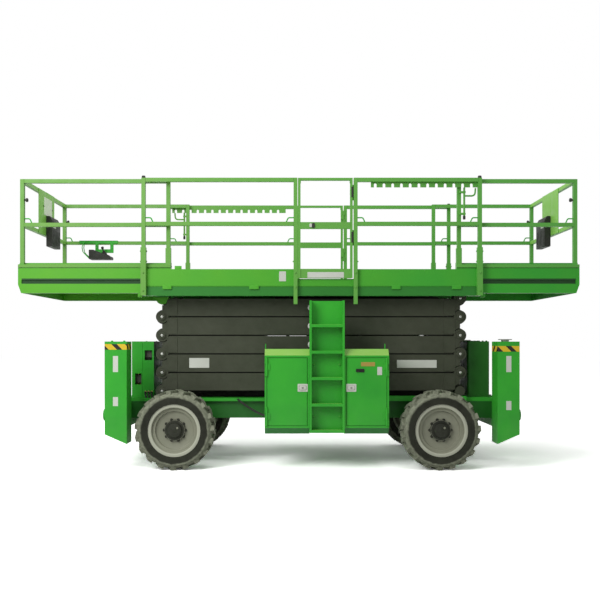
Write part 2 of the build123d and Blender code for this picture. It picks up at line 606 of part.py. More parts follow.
CYLINDER_FOOT = math.hypot(PIN_SPAN, LEVEL_PITCH) - CYLINDER_FOOT_IN
FOOT_X = RIGHT_PIN_X - CYLINDER_FOOT * math.cos(STOWED)
FOOT_Z = pin_z(FOOT_LEVEL - 1) + CYLINDER_FOOT * math.sin(STOWED)
HEAD_X = RIGHT_PIN_X - CYLINDER_HEAD * math.cos(STOWED)
HEAD_Z = pin_z(HEAD_LEVEL - 1) + CYLINDER_HEAD * math.sin(STOWED)
for level in range(1, LEVELS + 1):
    low, high = pin_z(level - 1), pin_z(level)
    pins = ((LEFT_PIN_X, low), (DECK_X, (low + high) / 2), (RIGHT_PIN_X, high))
    with BuildPart() as outer_arms:
        for _, s in SIDES:
            y_arm = span(s * OUTER_ARM_Y, s * (OUTER_ARM_Y + ARM_T))
            add(arm(level, y_arm, True))
            for x, z in pins:
                rod_y(x, z, y_arm, PIN_R + SEAT_GAP, Mode.SUBTRACT)
        for _, s in SIDES:
            for x, z in pins:
                rod_y(x, z, span(s * INNER_ARM_Y, s * (OUTER_ARM_Y + ARM_T + SEAT_GAP)), PIN_R)
                rod_y(x, z, span(s * (OUTER_ARM_Y + ARM_T + SEAT_GAP),
                                 s * (OUTER_ARM_Y + ARM_T + PIN_HEAD_T)), PIN_HEAD_R)
            if level == LEVELS:
                roller_y = span(s * INNER_ARM_Y, s * (INNER_ARM_Y + ARM_T))
                rod_y(RIGHT_PIN_X, high, roller_y, ROLLER_R)
    finish(outer_arms, f"outer_arms_{level}")
    holes = [(DECK_X, (low + high) / 2), (LEFT_PIN_X, high)]
    if level > 1:
        holes.append((RIGHT_PIN_X, low))
    with BuildPart() as inner_arms:
        for _, s in SIDES:
            y_arm = span(s * INNER_ARM_Y, s * (INNER_ARM_Y + ARM_T))
            add(arm(level, y_arm, False))
            for x, z in holes:
                rod_y(x, z, y_arm, PIN_R + SEAT_GAP, Mode.SUBTRACT)
        tubes = [LEFT_PIN_X + CROSS_TUBE_IN, RIGHT_PIN_X - CROSS_TUBE_IN]
        if level == HEAD_LEVEL:
            tubes.pop()
        for x in tubes:
            rod_y(x, (low + high) / 2, (-INNER_ARM_Y + SEAT_GAP, INNER_ARM_Y - SEAT_GAP), CROSS_TUBE_R)
        if level == FOOT_LEVEL:
            rod_y(FOOT_X, FOOT_Z, (-INNER_ARM_Y + SEAT_GAP, INNER_ARM_Y - SEAT_GAP), CYLINDER_PIN_R)
        if level == 1:
            for _, s in SIDES:
                y_roller = span(s * (INNER_ARM_Y + ARM_T + SEAT_GAP), s * (OUTER_ARM_Y + ARM_T))
                rod_y(RIGHT_PIN_X, low, y_roller, ROLLER_R)
    finish(inner_arms, f"inner_arms_{level}")

# Lift cylinders: two barrels on a cross tube of one inner pair, two rods on a shared crosshead
CYLINDER_L = math.hypot(HEAD_X - FOOT_X, HEAD_Z - FOOT_Z)
BARREL_L = CYLINDER_L - CROSSHEAD_R - BARREL_CLEAR


def cylinder_plane(s, along):
    """A plane across one cylinder, at a distance from its foot."""
    foot = Plane(origin=(FOOT_X, s * CYLINDER_Y, FOOT_Z), x_dir=(0, 1, 0),
                 z_dir=(HEAD_X - FOOT_X, 0, HEAD_Z - FOOT_Z))
    return foot.offset(along)


with BuildPart() as lift_barrels:
    for _, s in SIDES:
        with BuildSketch(cylinder_plane(s, 0)):
            Circle(BARREL_R)
        extrude(amount=BARREL_L)
        rod_y(FOOT_X, FOOT_Z, span(s * (CYLINDER_Y - BARREL_R), s * (CYLINDER_Y + BARREL_R)), EYE_R)
        with BuildSketch(cylinder_plane(s, CYLINDER_END)):
            Circle(ROD_R + SEAT_GAP)
        extrude(amount=BARREL_L, mode=Mode.SUBTRACT)
    rod_y(FOOT_X, FOOT_Z, (-INNER_ARM_Y, INNER_ARM_Y), CYLINDER_PIN_R + SEAT_GAP, Mode.SUBTRACT)
finish(lift_barrels, "lift_barrels")

with BuildPart() as lift_rods:
    for _, s in SIDES:
        with BuildSketch(cylinder_plane(s, ROD_END)):
            Circle(ROD_R)
        extrude(amount=CYLINDER_L - ROD_END)
    rod_y(HEAD_X, HEAD_Z, (-INNER_ARM_Y + 2 * MOVE_GAP, INNER_ARM_Y - 2 * MOVE_GAP), CROSSHEAD_R)
finish(lift_rods, "lift_rods")

# Main deck: floor on cross bearers, a side channel that the roll-out beams run in,
# and below it the ears and roller tracks for the top scissor arms
WEB_Y = SLOT_Y_IN - SLOT_WEB
FLANGE_TOP = FASCIA_Z0 + FLANGE_T
FLOOR_LOW = FLOOR_Z - FLOOR_T
GATE_X0 = DECK_X + GATE_POST_FRONT
GATE_X1 = DECK_X + GATE_POST_REAR
TRACK_LOW = TOP_PIN_Z + ROLLER_R + SEAT_GAP
with BuildPart() as main_deck:
    block((DECK_X0, DECK_X1), (-SLOT_Y_IN, SLOT_Y_IN), (FLOOR_LOW, FLOOR_Z))
    for _, s in SIDES:
        block((DECK_X0, DECK_X1), span(s * WEB_Y, s * SLOT_Y_IN), (FASCIA_Z0, FLOOR_Z))
        block((DECK_X0, DECK_X1), span(s * WEB_Y, s * SLOT_Y_OUT), (FASCIA_Z0, FLANGE_TOP))
        block((DECK_X0, DECK_X1), span(s * SLOT_Y_OUT, s * FASCIA_Y),
              (FASCIA_Z0 + FASCIA_CHANNEL_H, FASCIA_Z1))
        block((DECK_X0, DECK_X1), span(s * SLOT_Y_OUT, s * (SLOT_Y_OUT + FASCIA_CHANNEL_T)),
              (FASCIA_Z0, FASCIA_Z0 + FASCIA_CHANNEL_H))
        block((LEDGE_X0, LEDGE_X1), span(s * INNER_ARM_Y, s * (INNER_ARM_Y + TRACK_W)),
              (TRACK_LOW, FLOOR_LOW))
        block((LEFT_PIN_X - LOBE_R, LEFT_PIN_X + LOBE_R), span(s * OUTER_ARM_Y, s * (OUTER_ARM_Y + ARM_T)),
              (TOP_PIN_Z, FLOOR_LOW))
        rod_y(LEFT_PIN_X, TOP_PIN_Z, span(s * OUTER_ARM_Y, s * (OUTER_ARM_Y + ARM_T)), LOBE_R)
        rod_y(LEFT_PIN_X, TOP_PIN_Z, span(s * INNER_ARM_Y, s * OUTER_ARM_Y), PIN_R)
    for i in range(BEARER_COUNT):
        x = DECK_X0 + BEARER_L / 2 + i * (PLATFORM_LENGTH - BEARER_L) / (BEARER_COUNT - 1)
        block((x - BEARER_L / 2, x + BEARER_L / 2), (-WEB_Y, WEB_Y), (FLOOR_LOW - BEARER_H, FLOOR_LOW))
    for _, s in SIDES:
        block((GATE_X0, GATE_X1), span(s * SLOT_Y_OUT, s * FASCIA_Y), (FLOOR_Z, FASCIA_Z1), Mode.SUBTRACT)
        block((GATE_X0, GATE_X1), span(s * SLOT_Y_IN, s * SLOT_Y_OUT), (FLOOR_LOW, FLOOR_Z))
finish(main_deck, "main_deck")

# Main guard rails outside the fascia, with a gap for the gate and a locking comb on each side
RAIL_Z = [(MID_RAIL_Z - POST / 2, MID_RAIL_Z + POST / 2), (TOP_RAIL_Z - POST / 2, TOP_RAIL_Z + POST / 2)]
RAIL_TOP = TOP_RAIL_Z + POST / 2
MAIN_POST_X = [DECK_X0 + POST_FROM_END, GATE_X0, GATE_X1, DECK_X1 - POST_FROM_END]
GATE_HINGE_X = GATE_X1 - POST / 2 - MOVE_GAP
GATE_HINGE_Y = FASCIA_Y - GATE_HINGE_R - SEAT_GAP
GATE_HINGE_Z = [FLOOR_Z + (RAIL_TOP - FLOOR_Z) * share for share in (0.41, 0.86)]
COMB_SPAN = {
    -1: (MAIN_POST_X[2] + COMB_FROM_GATE, MAIN_POST_X[3]),
    1: (MAIN_POST_X[0] + COMB_FROM_POST, MAIN_POST_X[1] - COMB_SHORT),
}
with BuildPart() as main_rails:
    for _, s in SIDES:
        y = span(s * FASCIA_Y, s * DECK_HALF_W)
        for i, x in enumerate(MAIN_POST_X):
            drop = GATE_POST_DROP if i in (1, 2) else 0
            block((x - POST / 2, x + POST / 2), y, (FASCIA_Z0 - drop, RAIL_TOP))
            if not drop:
                block((x - POST / 2 - SOCKET_OVER, x + POST / 2 + SOCKET_OVER),
                      span(s * FASCIA_Y, s * (DECK_HALF_W + SOCKET_OVER)), (FASCIA_Z0, FASCIA_Z1 + SOCKET_H))
                rod_z(x, s * (DECK_HALF_W - POST / 2), (RAIL_TOP, RAIL_TOP + CAP_H), CAP_R)
        for a, b in ((0, 1), (2, 3)):
            for z in RAIL_Z:
                block((MAIN_POST_X[a], MAIN_POST_X[b]), y, z)
        comb_x = COMB_SPAN[s]
        comb_y = span(s * FASCIA_Y, s * (FASCIA_Y + COMB_T))
        comb_low = TOP_RAIL_Z - POST / 2 - COMB_H
        block(comb_x, comb_y, (comb_low, TOP_RAIL_Z))
        notches = int((comb_x[1] - comb_x[0]) // COMB_PITCH)
        for i in range(notches):
            x = comb_x[0] + (i + 0.5) * COMB_PITCH
            rod_y(x, comb_low + COMB_NOTCH_H, comb_y, COMB_NOTCH_R, Mode.SUBTRACT)
            block((x - COMB_NOTCH_R, x + COMB_NOTCH_R), comb_y, (comb_low, comb_low + COMB_NOTCH_H),
                  Mode.SUBTRACT)
        for z in GATE_HINGE_Z:
            for step in (-1, 1):
                z_mid = z + step * GATE_HINGE_L
                z_span = (z_mid - GATE_HINGE_L / 2 + SEAT_GAP, z_mid + GATE_HINGE_L / 2 - SEAT_GAP)
                rod_z(GATE_HINGE_X, s * GATE_HINGE_Y, z_span, GATE_HINGE_R)
                block((GATE_HINGE_X, GATE_X1), span(s * FASCIA_Y, s * GATE_HINGE_Y), z_span)
finish(main_rails, "main_rails")

# Gates: a tube frame with a kick plate on each side, hinged to open inwards
GATE_MID = (FASCIA_Y + DECK_HALF_W) / 2
GATE_SPAN = (GATE_X0 + POST / 2 + MOVE_GAP, GATE_HINGE_X - MOVE_GAP)
for side, s in SIDES:
    gate_y = span(s * (GATE_MID - GATE_TUBE / 2), s * (GATE_MID + GATE_TUBE / 2))
    with BuildPart() as gate:
        for x in ((GATE_SPAN[0], GATE_SPAN[0] + GATE_TUBE), (GATE_SPAN[1] - GATE_TUBE, GATE_SPAN[1])):
            block(x, gate_y, (FLOOR_Z + MOVE_GAP, RAIL_TOP))
        block(GATE_SPAN, gate_y, (RAIL_TOP - GATE_TUBE, RAIL_TOP))
        block(GATE_SPAN, gate_y, (MID_RAIL_Z + GATE_BAR_UP - GATE_BAR_H, MID_RAIL_Z + GATE_BAR_UP))
        block(GATE_SPAN, span(s * (GATE_MID - GATE_TUBE / 4), s * (GATE_MID + GATE_TUBE / 4)),
              (FLOOR_Z + MOVE_GAP, FASCIA_Z1))
        for z in GATE_HINGE_Z:
            z_span = (z - GATE_HINGE_L / 2, z + GATE_HINGE_L / 2)
            rod_z(GATE_HINGE_X, s * GATE_HINGE_Y, z_span, GATE_HINGE_R)
            block((GATE_SPAN[1] - GATE_TUBE, GATE_HINGE_X),
                  span(s * (GATE_MID - GATE_TUBE / 2), s * GATE_HINGE_Y), z_span)
    finish(gate, f"gate_{side}")

# Roll-out decks: grooved side beams with a thin floor, an end beam and their own rails
EXT_Z0 = FLANGE_TOP + SEAT_GAP
EXT_Z1 = TOP_PIN_Z + EXT_BEAM_HIGH
EXT_FLOOR_Z = (FLOOR_Z + MOVE_GAP, FLOOR_Z + MOVE_GAP + EXT_FLOOR_T)
EXT_POST_Y = (EXT_BEAM_Y_IN + EXT_BEAM_Y_OUT) / 2
DOC_Z0 = MID_RAIL_Z - DOC_DROP
ROLL_OUTS = (
    ("front", -1, DECK_X0, FRONT_REACH, FRONT_OVERLAP),
    ("rear", 1, DECK_X1, REAR_REACH, REAR_OVERLAP),
)
for end, e, x_deck, reach, overlap in ROLL_OUTS:
    x_end = x_deck + e * reach
    x_inner = x_deck - e * overlap
    with BuildPart() as ext_deck:
        for _, s in SIDES:
            block(span(x_end, x_inner), span(s * EXT_BEAM_Y_IN, s * EXT_BEAM_Y_OUT), (EXT_Z0, EXT_Z1))
            block(span(x_end, x_inner), span(s * (EXT_BEAM_Y_OUT - EXT_BEAM_T / 3), s * EXT_BEAM_Y_OUT),
                  (EXT_Z0 + EXT_BEAM_SLOT_Z, EXT_Z0 + EXT_BEAM_SLOT_Z + EXT_BEAM_SLOT_H), Mode.SUBTRACT)
            block(span(x_end, x_inner), span(s * (EXT_BEAM_Y_IN - EXT_FLOOR_T), s * EXT_BEAM_Y_IN),
                  (EXT_FLOOR_Z[0], EXT_Z1 + EXT_TOE))
        block(span(x_end, x_inner), (-EXT_BEAM_Y_IN, EXT_BEAM_Y_IN), EXT_FLOOR_Z)
        block(span(x_end, x_end - e * EXT_END_T), (-EXT_BEAM_Y_OUT, EXT_BEAM_Y_OUT), (EXT_Z0, EXT_Z1))
        with BuildSketch(Plane.XZ.offset(-DECK_HALF_W)):
            with BuildLine():
                Polyline((x_end, EXT_Z0), (x_end, EXT_Z0 + EXT_RAKE_H), (x_end - e * EXT_RAKE_L, EXT_Z0),
                         close=True)
            make_face()
        extrude(amount=PLATFORM_WIDTH, mode=Mode.SUBTRACT)
    finish(ext_deck, f"{end}_extension_deck")
    post_out = x_end - e * POST
    post_in = x_inner + e * POST_FROM_END
    with BuildPart() as ext_rails:
        for _, s in SIDES:
            y = (s * EXT_POST_Y - POST / 2, s * EXT_POST_Y + POST / 2)
            for x in (post_out, post_in):
                block((x - POST / 2, x + POST / 2), y, (EXT_Z1 + SEAT_GAP, RAIL_TOP))
            block((post_in - POST / 2 - SOCKET_OVER, post_in + POST / 2 + SOCKET_OVER),
                  (y[0] - SOCKET_OVER / 2, y[1] + SOCKET_OVER / 2), (EXT_Z1 + SEAT_GAP, FASCIA_Z1 + SOCKET_H))
            for z in RAIL_Z:
                block(span(post_out, post_in), y, z)
        for z in RAIL_Z:
            block((post_out - POST / 2, post_out + POST / 2), (-EXT_POST_Y, EXT_POST_Y), z)
        plate_x = post_out - e * POST / 2
        block(span(plate_x, plate_x - e * DOC_PLATE_T), (DOC_Y - DOC_W / 2, DOC_Y + DOC_W / 2),
              (RAIL_Z[0][0], RAIL_Z[1][1]))
    finish(ext_rails, f"{end}_extension_rails")
    with BuildPart() as document_box:
        box_x = plate_x - e * (DOC_PLATE_T + SEAT_GAP)
        block(span(box_x, box_x - e * DOC_T), (DOC_Y - DOC_W / 2, DOC_Y + DOC_W / 2),
              (DOC_Z0, DOC_Z0 + DOC_H))
    finish(document_box, f"{end}_document_box")

# Platform control: a box with a joystick, hung on the far mid rail of the front roll-out deck
CONTROL_Y1 = EXT_POST_Y - POST / 2 - SEAT_GAP
CONTROL_Z1 = RAIL_Z[0][0] - CONTROL_DROP
control_x = DECK_X + CONTROL_X
with BuildPart() as control_box:
    with BuildSketch(Plane.XZ.offset(-CONTROL_Y1)):
        with BuildLine():
            Polyline((control_x - CONTROL_L / 2, CONTROL_Z1 - CONTROL_H),
                     (control_x + CONTROL_L / 2, CONTROL_Z1 - CONTROL_H),
                     (control_x + CONTROL_L / 2, CONTROL_Z1 - CONTROL_SLOPE_LOW),
                     (control_x - CONTROL_TOP_L, CONTROL_Z1),
                     (control_x - CONTROL_L / 2, CONTROL_Z1), close=True)
        make_face()
    extrude(amount=CONTROL_W)
    block((control_x - CONTROL_L / 2, control_x + CONTROL_L / 2),
          (CONTROL_Y1 - CONTROL_BRACKET_T, CONTROL_Y1),
          (CONTROL_Z1 - CONTROL_H, RAIL_Z[0][1] + CONTROL_BRACKET_T))
    block((control_x - CONTROL_L / 2, control_x + CONTROL_L / 2), (CONTROL_Y1, CONTROL_Y1 + POST / 2),
          (RAIL_Z[0][1] + SEAT_GAP, RAIL_Z[0][1] + CONTROL_BRACKET_T))
    rod_z(control_x, CONTROL_Y1 - CONTROL_W / 2, (CONTROL_Z1 - CONTROL_H / 2, CONTROL_Z1 + STICK_H), STICK_R)
finish(control_box, "control_box")
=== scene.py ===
import bpy
import numpy as np
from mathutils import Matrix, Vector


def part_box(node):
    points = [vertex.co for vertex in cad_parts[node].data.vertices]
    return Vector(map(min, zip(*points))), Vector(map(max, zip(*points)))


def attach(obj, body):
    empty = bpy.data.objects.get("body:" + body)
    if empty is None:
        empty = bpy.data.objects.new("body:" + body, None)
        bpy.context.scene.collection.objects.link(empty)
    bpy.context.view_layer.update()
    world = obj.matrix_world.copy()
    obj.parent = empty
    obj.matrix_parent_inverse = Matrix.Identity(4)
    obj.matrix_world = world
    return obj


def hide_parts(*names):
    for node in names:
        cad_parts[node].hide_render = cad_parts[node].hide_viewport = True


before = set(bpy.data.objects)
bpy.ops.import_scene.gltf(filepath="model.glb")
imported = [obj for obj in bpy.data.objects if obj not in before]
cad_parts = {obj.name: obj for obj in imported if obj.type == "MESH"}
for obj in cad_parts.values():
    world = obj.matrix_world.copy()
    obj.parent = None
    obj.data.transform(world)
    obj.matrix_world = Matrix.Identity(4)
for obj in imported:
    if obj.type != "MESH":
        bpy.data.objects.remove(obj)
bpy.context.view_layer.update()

# Studio: a pale floor that reads white where no shadow falls, an even white sky, a soft lamp at the left
# front and a broader one overhead, and a level camera before the gate side, shifted as in the photograph.
EYE, LENS, SENSOR = (-0.05, -9.75, 1.45), 45.6, 36.0
VIEW_SHIFT = (0.0092, 0.0717)
FLOOR_HALF = 60.0
FLOOR_PALE, FLOOR_SEEN, FLOOR_LIFT = (0.45, 0.45, 0.44), (2.05, 2.05, 2.04), 0.08
SKY_LIGHT = 0.45
LAMPS = (("key_lamp", (-4.5, -6.5, 5.5), (-0.6, 0.0, 1.6), 4.0, 420.0),
         ("top_lamp", (-0.5, -1.5, 8.5), (-0.5, -0.4, 0.0), 6.0, 250.0))

scene = bpy.context.scene
scene.view_settings.view_transform = "Standard"


def put(name, data):
    """A new object in the scene that shows some data."""
    piece = bpy.data.objects.new(name, data)
    scene.collection.objects.link(piece)
    return piece


camera_data = bpy.data.cameras.new("camera")
camera_data.lens, camera_data.sensor_width = LENS, SENSOR
camera_data.shift_x, camera_data.shift_y = VIEW_SHIFT
camera = put("camera", camera_data)
camera.location = EYE
camera.rotation_euler = (np.pi / 2, 0, 0)
scene.camera = camera

for name, place, target, size, power in LAMPS:
    lamp_data = bpy.data.lights.new(name, "AREA")
    lamp_data.energy, lamp_data.size = power, size
    lamp = put(name, lamp_data)
    lamp.location = place
    aim = np.subtract(target, place)
    tilt = np.arccos(-aim[2] / np.linalg.norm(aim))
    lamp.rotation_euler = (tilt, 0, np.arctan2(aim[1], aim[0]) - np.pi / 2)


def feed(made, feeds):
    """Give inputs of a material's node, by name or number, a number, a colour or a socket each."""
    for key, value in feeds.items():
        if isinstance(value, bpy.types.NodeSocket):
            made.id_data.links.new(value, made.inputs[key])
        else:
            made.inputs[key].default_value = (*value, 1) if isinstance(value, tuple) else value


def node(tree, kind, feeds=None, **settings):
    """One node of a material, with its settings and what feeds its inputs."""
    made = tree.nodes.new("ShaderNode" + kind)
    for name, value in settings.items():
        setattr(made, name, value)
    feed(made, feeds or {})
    return made


def count(operation, *values):
    """One sum in a material: an operation on a socket and at most one more socket or number."""
    return node(values[0].id_data, "Math", dict(enumerate(values)), operation=operation).outputs[0]


def ramp(value, start, end, low=0.0, high=1.0):
    """A value's run from start to end, stretched from low to high and held there outside it."""
    feeds = {"Value": value, "From Min": start, "From Max": end, "To Min": low, "To Max": high}
    return node(value.id_data, "MapRange", feeds).outputs["Result"]


def seen_level(tree, unseen, seen):
    """One light level for rays from the camera or off a shiny or clear surface, another for the rest."""
    path = node(tree, "LightPath").outputs
    shown = path["Is Camera Ray"]
    for ray in ("Is Glossy Ray", "Is Transmission Ray"):
        shown = count("MAXIMUM", shown, path[ray])
    return ramp(shown, 0.0, 1.0, unseen, seen)


world = bpy.data.worlds.new("studio_sky")
world.use_nodes = True
scene.world = world
sky = world.node_tree
feed(sky.nodes["Background"], {"Color": (1, 1, 1), "Strength": seen_level(sky, SKY_LIGHT, 1.0)})


def put_mesh(name, points, faces):
    """One mesh object from an array of points and a list of arrays of face corners."""
    mesh = bpy.data.meshes.new(name)
    mesh.from_pydata(points.tolist(), [], [f for group in faces for f in group.tolist()])
    mesh.update()
    return put(name, mesh)


def new_paint(name):
    """A new material, with its tree and its surface shader."""
    material = bpy.data.materials.new(name)
    material.use_nodes = True
    return material, material.node_tree, material.node_tree.nodes["Principled BSDF"]


floor_points = FLOOR_HALF * np.array(((-1, -1, 0), (-1, 1, 0), (1, -1, 0), (1, 1, 0)))
floor = put_mesh("floor", floor_points, [np.array([[0, 2, 3, 1]])])
floor_paint, tree, shader = new_paint("pale_floor")
feed(shader, {"Base Color": FLOOR_PALE, "Roughness": 0.9, "Specular IOR Level": 0.0})
bright = node(tree, "BsdfDiffuse", {"Color": FLOOR_SEEN})
lift = node(tree, "Emission", {"Strength": FLOOR_LIFT})
lifted = node(tree, "AddShader", {0: bright.outputs[0], 1: lift.outputs[0]})
layers = {0: seen_level(tree, 0.0, 1.0), 1: shader.outputs[0], 2: lifted.outputs[0]}
chosen = node(tree, "MixShader", layers)
feed(tree.nodes["Material Output"], {"Surface": chosen.outputs[0]})
floor.data.materials.append(floor_paint)

# Chassis: two welded box rails with cross members, pivot ears and a roller ledge, sprayed in a solid
# green enamel that dust dulls low down, and painted shade darkens each rail's outer web. A folded flange is
# welded along each rail, a black tray between, its black also standing in for the shade under the arms.
GREEN, GREEN_DEEP = (0.038, 0.4, 0.028), (0.026, 0.32, 0.026)
ROAD_DUST = (0.3, 0.29, 0.22)
PAINT_GLOSS = 0.22
FLANGE_X, FLANGE_Y, FLANGE_Z = (-1.9, 0.39), (0.499, 0.56), (0.745, 0.785)
# The web colour is painted shade on each rail's outer web, below the flange.
WEB_PAINTED_SHADE = (0.014, 0.12, 0.014)
WEB_Z, WEB_Y = (0.5, 0.744), (0.49, 0.51)
TRAY_BLACK, TRAY_WORN = (0.014, 0.015, 0.012), (0.024, 0.025, 0.02)
TRAY_X, TRAY_Y, TRAY_Z, TRAY_T = (-1.55, 2.05), 0.09, (0.7295, 0.875), 0.005


def times(first, *others):
    """The product of a socket and more sockets or numbers."""
    for other in others:
        first = count("MULTIPLY", first, other)
    return first


def blend(share, first, second):
    """Two colours mixed by a share from 0, the first, to 1, the second."""
    return node(share.id_data, "Mix", {0: share, 6: first, 7: second}, data_type="RGBA").outputs[2]


def over(share, hue, colour):
    """A colour laid over a finish by a share, from then on the finish's own colour."""
    hue = blend(share, hue, colour)
    feed(hue.id_data.nodes["Principled BSDF"], {"Base Color": hue})
    return hue


def grain(place, scale, low, high, detail=4.0):
    """A cloudy pattern at a scale per metre, stretched between two values."""
    feeds = {"Vector": place, "Scale": scale, "Detail": detail}
    return ramp(node(place.id_data, "TexNoise", feeds).outputs["Fac"], 0.3, 0.7, low, high)


def between(value, low, high):
    """1 where a value lies between two limits, and 0 elsewhere."""
    mid, half = (low + high) / 2, (high - low) / 2
    return count("LESS_THAN", count("ABSOLUTE", count("SUBTRACT", value, mid)), half)


def emboss(height, strength, deep):
    """Lift a finish by a pattern of heights, at a strength and a depth, on top of what lifts it already."""
    tree = height.id_data
    normal = tree.nodes["Principled BSDF"].inputs["Normal"]
    feeds = {"Strength": strength, "Distance": deep, "Height": height}
    if normal.links:
        feeds["Normal"] = normal.links[0].from_socket
    tree.links.new(node(tree, "Bump", feeds).outputs["Normal"], normal)


def coat(name, colour, shade, rough=0.42, metal=0.0, dust=0.0, dust_top=0.9, peel=0.02, peel_scale=260.0,
         drift=None):
    """A sprayed or bare finish: the colour drifts to its shade cloudily, and where a drift is given it also
    runs along the machine as painted light, lit at one end and shaded at the other; fine peel lifts the
    surface, gloss varies, and dust thickens below a height. Gives the material and what a pattern on top
    needs: its colour, the three parts of the place, and the place."""
    material, tree, shader = new_paint(name)
    place = node(tree, "TexCoord").outputs["Object"]
    at_x, at_y, at_z = node(tree, "SeparateXYZ", {0: place}).outputs
    share = grain(place, 2.6, 0.0, 0.2 if drift else 1.0)
    # A drift is painted light: the colour ramps from a lit left end to a shaded right end.
    if drift:
        share = count("ADD", share, ramp(at_x, *drift, 0.0, 0.8))
    hue = over(share, colour, shade)
    if dust:
        fallen = ramp(at_z, dust_top, 0.0, 0.0, dust)
        hue = over(times(fallen, grain(place, 9.0, 0.25, 1.0)), hue, ROAD_DUST)
    uneven = grain(place, 14.0, rough - 0.07, rough + 0.1)
    feed(shader, {"Roughness": uneven, "Metallic": metal, "Specular IOR Level": PAINT_GLOSS})
    emboss(grain(place, peel_scale, 0.0, 1.0, 2.0), 0.25, peel * 0.01)
    return material, hue, at_x, at_y, at_z, place


def dress(material, *names):
    """Give CAD nodes a finish in all their slots."""
    for name in names:
        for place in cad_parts[name].material_slots:
            place.material = material


def skin(rings):
    """Closed surface through rings of points (stations, points round, 3): a quad between neighbouring
    points of neighbouring rings, and one flat face over the first and the last ring."""
    stations, around = rings.shape[:2]
    k = np.arange(around)
    low = np.arange(stations - 1)[:, None] * around
    quads = np.stack([low + k, low + (k + 1) % around, low + around + (k + 1) % around, low + around + k], -1)
    return rings.reshape(-1, 3), [quads.reshape(-1, 4), k[None, ::-1], (stations - 1) * around + k[None]]


def fit(name, shapes, body, material):
    """A finished fitting: the points of its shapes one after another and their faces numbered on,
    as one mesh with soft shading between its edges, dressed and hung on a body."""
    starts = np.cumsum([0] + [len(points) for points, _ in shapes])
    faces = [group + start for (_, groups), start in zip(shapes, starts) for group in groups]
    piece = put_mesh(name, np.concatenate([points for points, _ in shapes]), faces)
    piece.data.materials.append(material)
    piece.data.shade_smooth()
    piece.data.set_sharp_from_angle(angle=np.radians(35))
    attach(piece, body)
    return piece


def about(mid, half):
    """The span that reaches equally far to both sides of a middle."""
    return mid - half, mid + half


def on_side(s, low, high):
    """A span across the machine, mirrored to the near side (-1) or kept on the far side (1)."""
    return s * low, s * high


def block(x, y, z, edge=0.003, corner=None, along=2):
    """A pressed block that fills three spans: a rounded rectangle carried along one axis, drawn in by the
    edge at both ends."""
    low, high = np.sort(np.array([x, y, z], float), axis=1).T
    mid, half = (low + high) / 2, (high - low) / 2
    u, v, w = [(1, 2, 0), (2, 0, 1), (0, 1, 2)][along]
    edge = min(edge, half.min() * 0.9)
    corner = edge if corner is None else min(corner, half[u] * 0.98, half[v] * 0.98)
    angle = np.add.outer(np.arange(4) * np.pi / 2, np.linspace(0, np.pi / 2, 5)).ravel()
    sign_u, sign_v = np.repeat([[1, -1, -1, 1], [1, 1, -1, -1]], 5, axis=1)
    drawn = np.array([edge, 0, 0, edge])[:, None]
    round_by = np.maximum(corner - drawn, 1e-5)
    inward = np.minimum(corner - drawn, 0)
    rings = np.zeros((4, 20, 3))
    rings[..., u] = mid[u] + sign_u * (half[u] - corner + inward) + round_by * np.cos(angle)
    rings[..., v] = mid[v] + sign_v * (half[v] - corner + inward) + round_by * np.sin(angle)
    rings[..., w] = mid[w] + np.array([-half[w], edge - half[w], half[w] - edge, half[w]])[:, None]
    return skin(rings)


def circle(first, second, number):
    """Directions evenly round a circle, from a first one towards a second one square to it."""
    angle = np.linspace(0, 2 * np.pi, number, endpoint=False)[:, None]
    return np.cos(angle) * first + np.sin(angle) * second


def turned(start, axis, profile, around=24):
    """A turned piece: a profile of (distance along the axis, radius) carried round a line from a start."""
    axis = np.asarray(axis, float) / np.linalg.norm(axis)
    side = np.cross(axis, (0, 0, 1) if abs(axis[2]) < 0.9 else (1, 0, 0))
    side /= np.linalg.norm(side)
    ring = circle(side, np.cross(axis, side), around)
    profile = np.asarray(profile, float)
    return skin(np.asarray(start) + profile[:, None, :1] * axis + profile[:, None, 1:] * ring)


def bolt(start, axis, size=0.012, tall=0.009):
    """A six-sided bolt head on a washer, from its seat outwards."""
    washer = ((-0.001, 1.3 * size), (0.002, 1.3 * size))
    head = ((0.0021, size), (0.002 + 0.8 * tall, size), (0.002 + tall, 0.8 * size))
    return turned(start, axis, washer + head, 6)


def tube(path, radius, around=10):
    """A round bar or hose: a circle carried along a path, square to the path's direction at each point."""
    path = np.asarray(path, float)
    along = np.gradient(path, axis=0)
    along /= np.linalg.norm(along, axis=1)[:, None]
    side = np.cross(along, np.eye(3)[np.argmin(np.abs(along).max(0))])
    side /= np.linalg.norm(side, axis=1)[:, None]
    ring = circle(side[:, None], np.cross(along, side)[:, None], around)
    return skin(path[:, None] + np.reshape(radius, (-1, 1, 1)) * ring)


chassis_green = coat("chassis_green", GREEN, GREEN_DEEP, dust=0.2)[0]
frame_green, hue, _, at_y, at_z = coat("frame_green", GREEN, GREEN_DEEP, dust=0.2)[:5]
# Painted shade: each rail's outer web below the flange is darker.
over(times(between(at_z, *WEB_Z), between(count("ABSOLUTE", at_y), *WEB_Y)), hue, WEB_PAINTED_SHADE)
tray_black = coat("tray_black", TRAY_BLACK, TRAY_WORN, rough=0.6, dust=0.1)[0]
dress(frame_green, "chassis_frame")
flanges = [block(FLANGE_X, on_side(s, *FLANGE_Y), FLANGE_Z, 0.004) for s in (-1, 1)]
fit("rail_flanges", flanges, "chassis", chassis_green)
# The tray is real, and its black also stands in for the shade seen under the arms.
tray = [block(TRAY_X, about(0, TRAY_Y), (TRAY_Z[0], TRAY_Z[0] + TRAY_T), 0.001)]
tray += [block(TRAY_X, on_side(s, TRAY_Y - TRAY_T, TRAY_Y), TRAY_Z, 0.001) for s in (-1, 1)]
fit("hose_tray", tray, "chassis", tray_black)

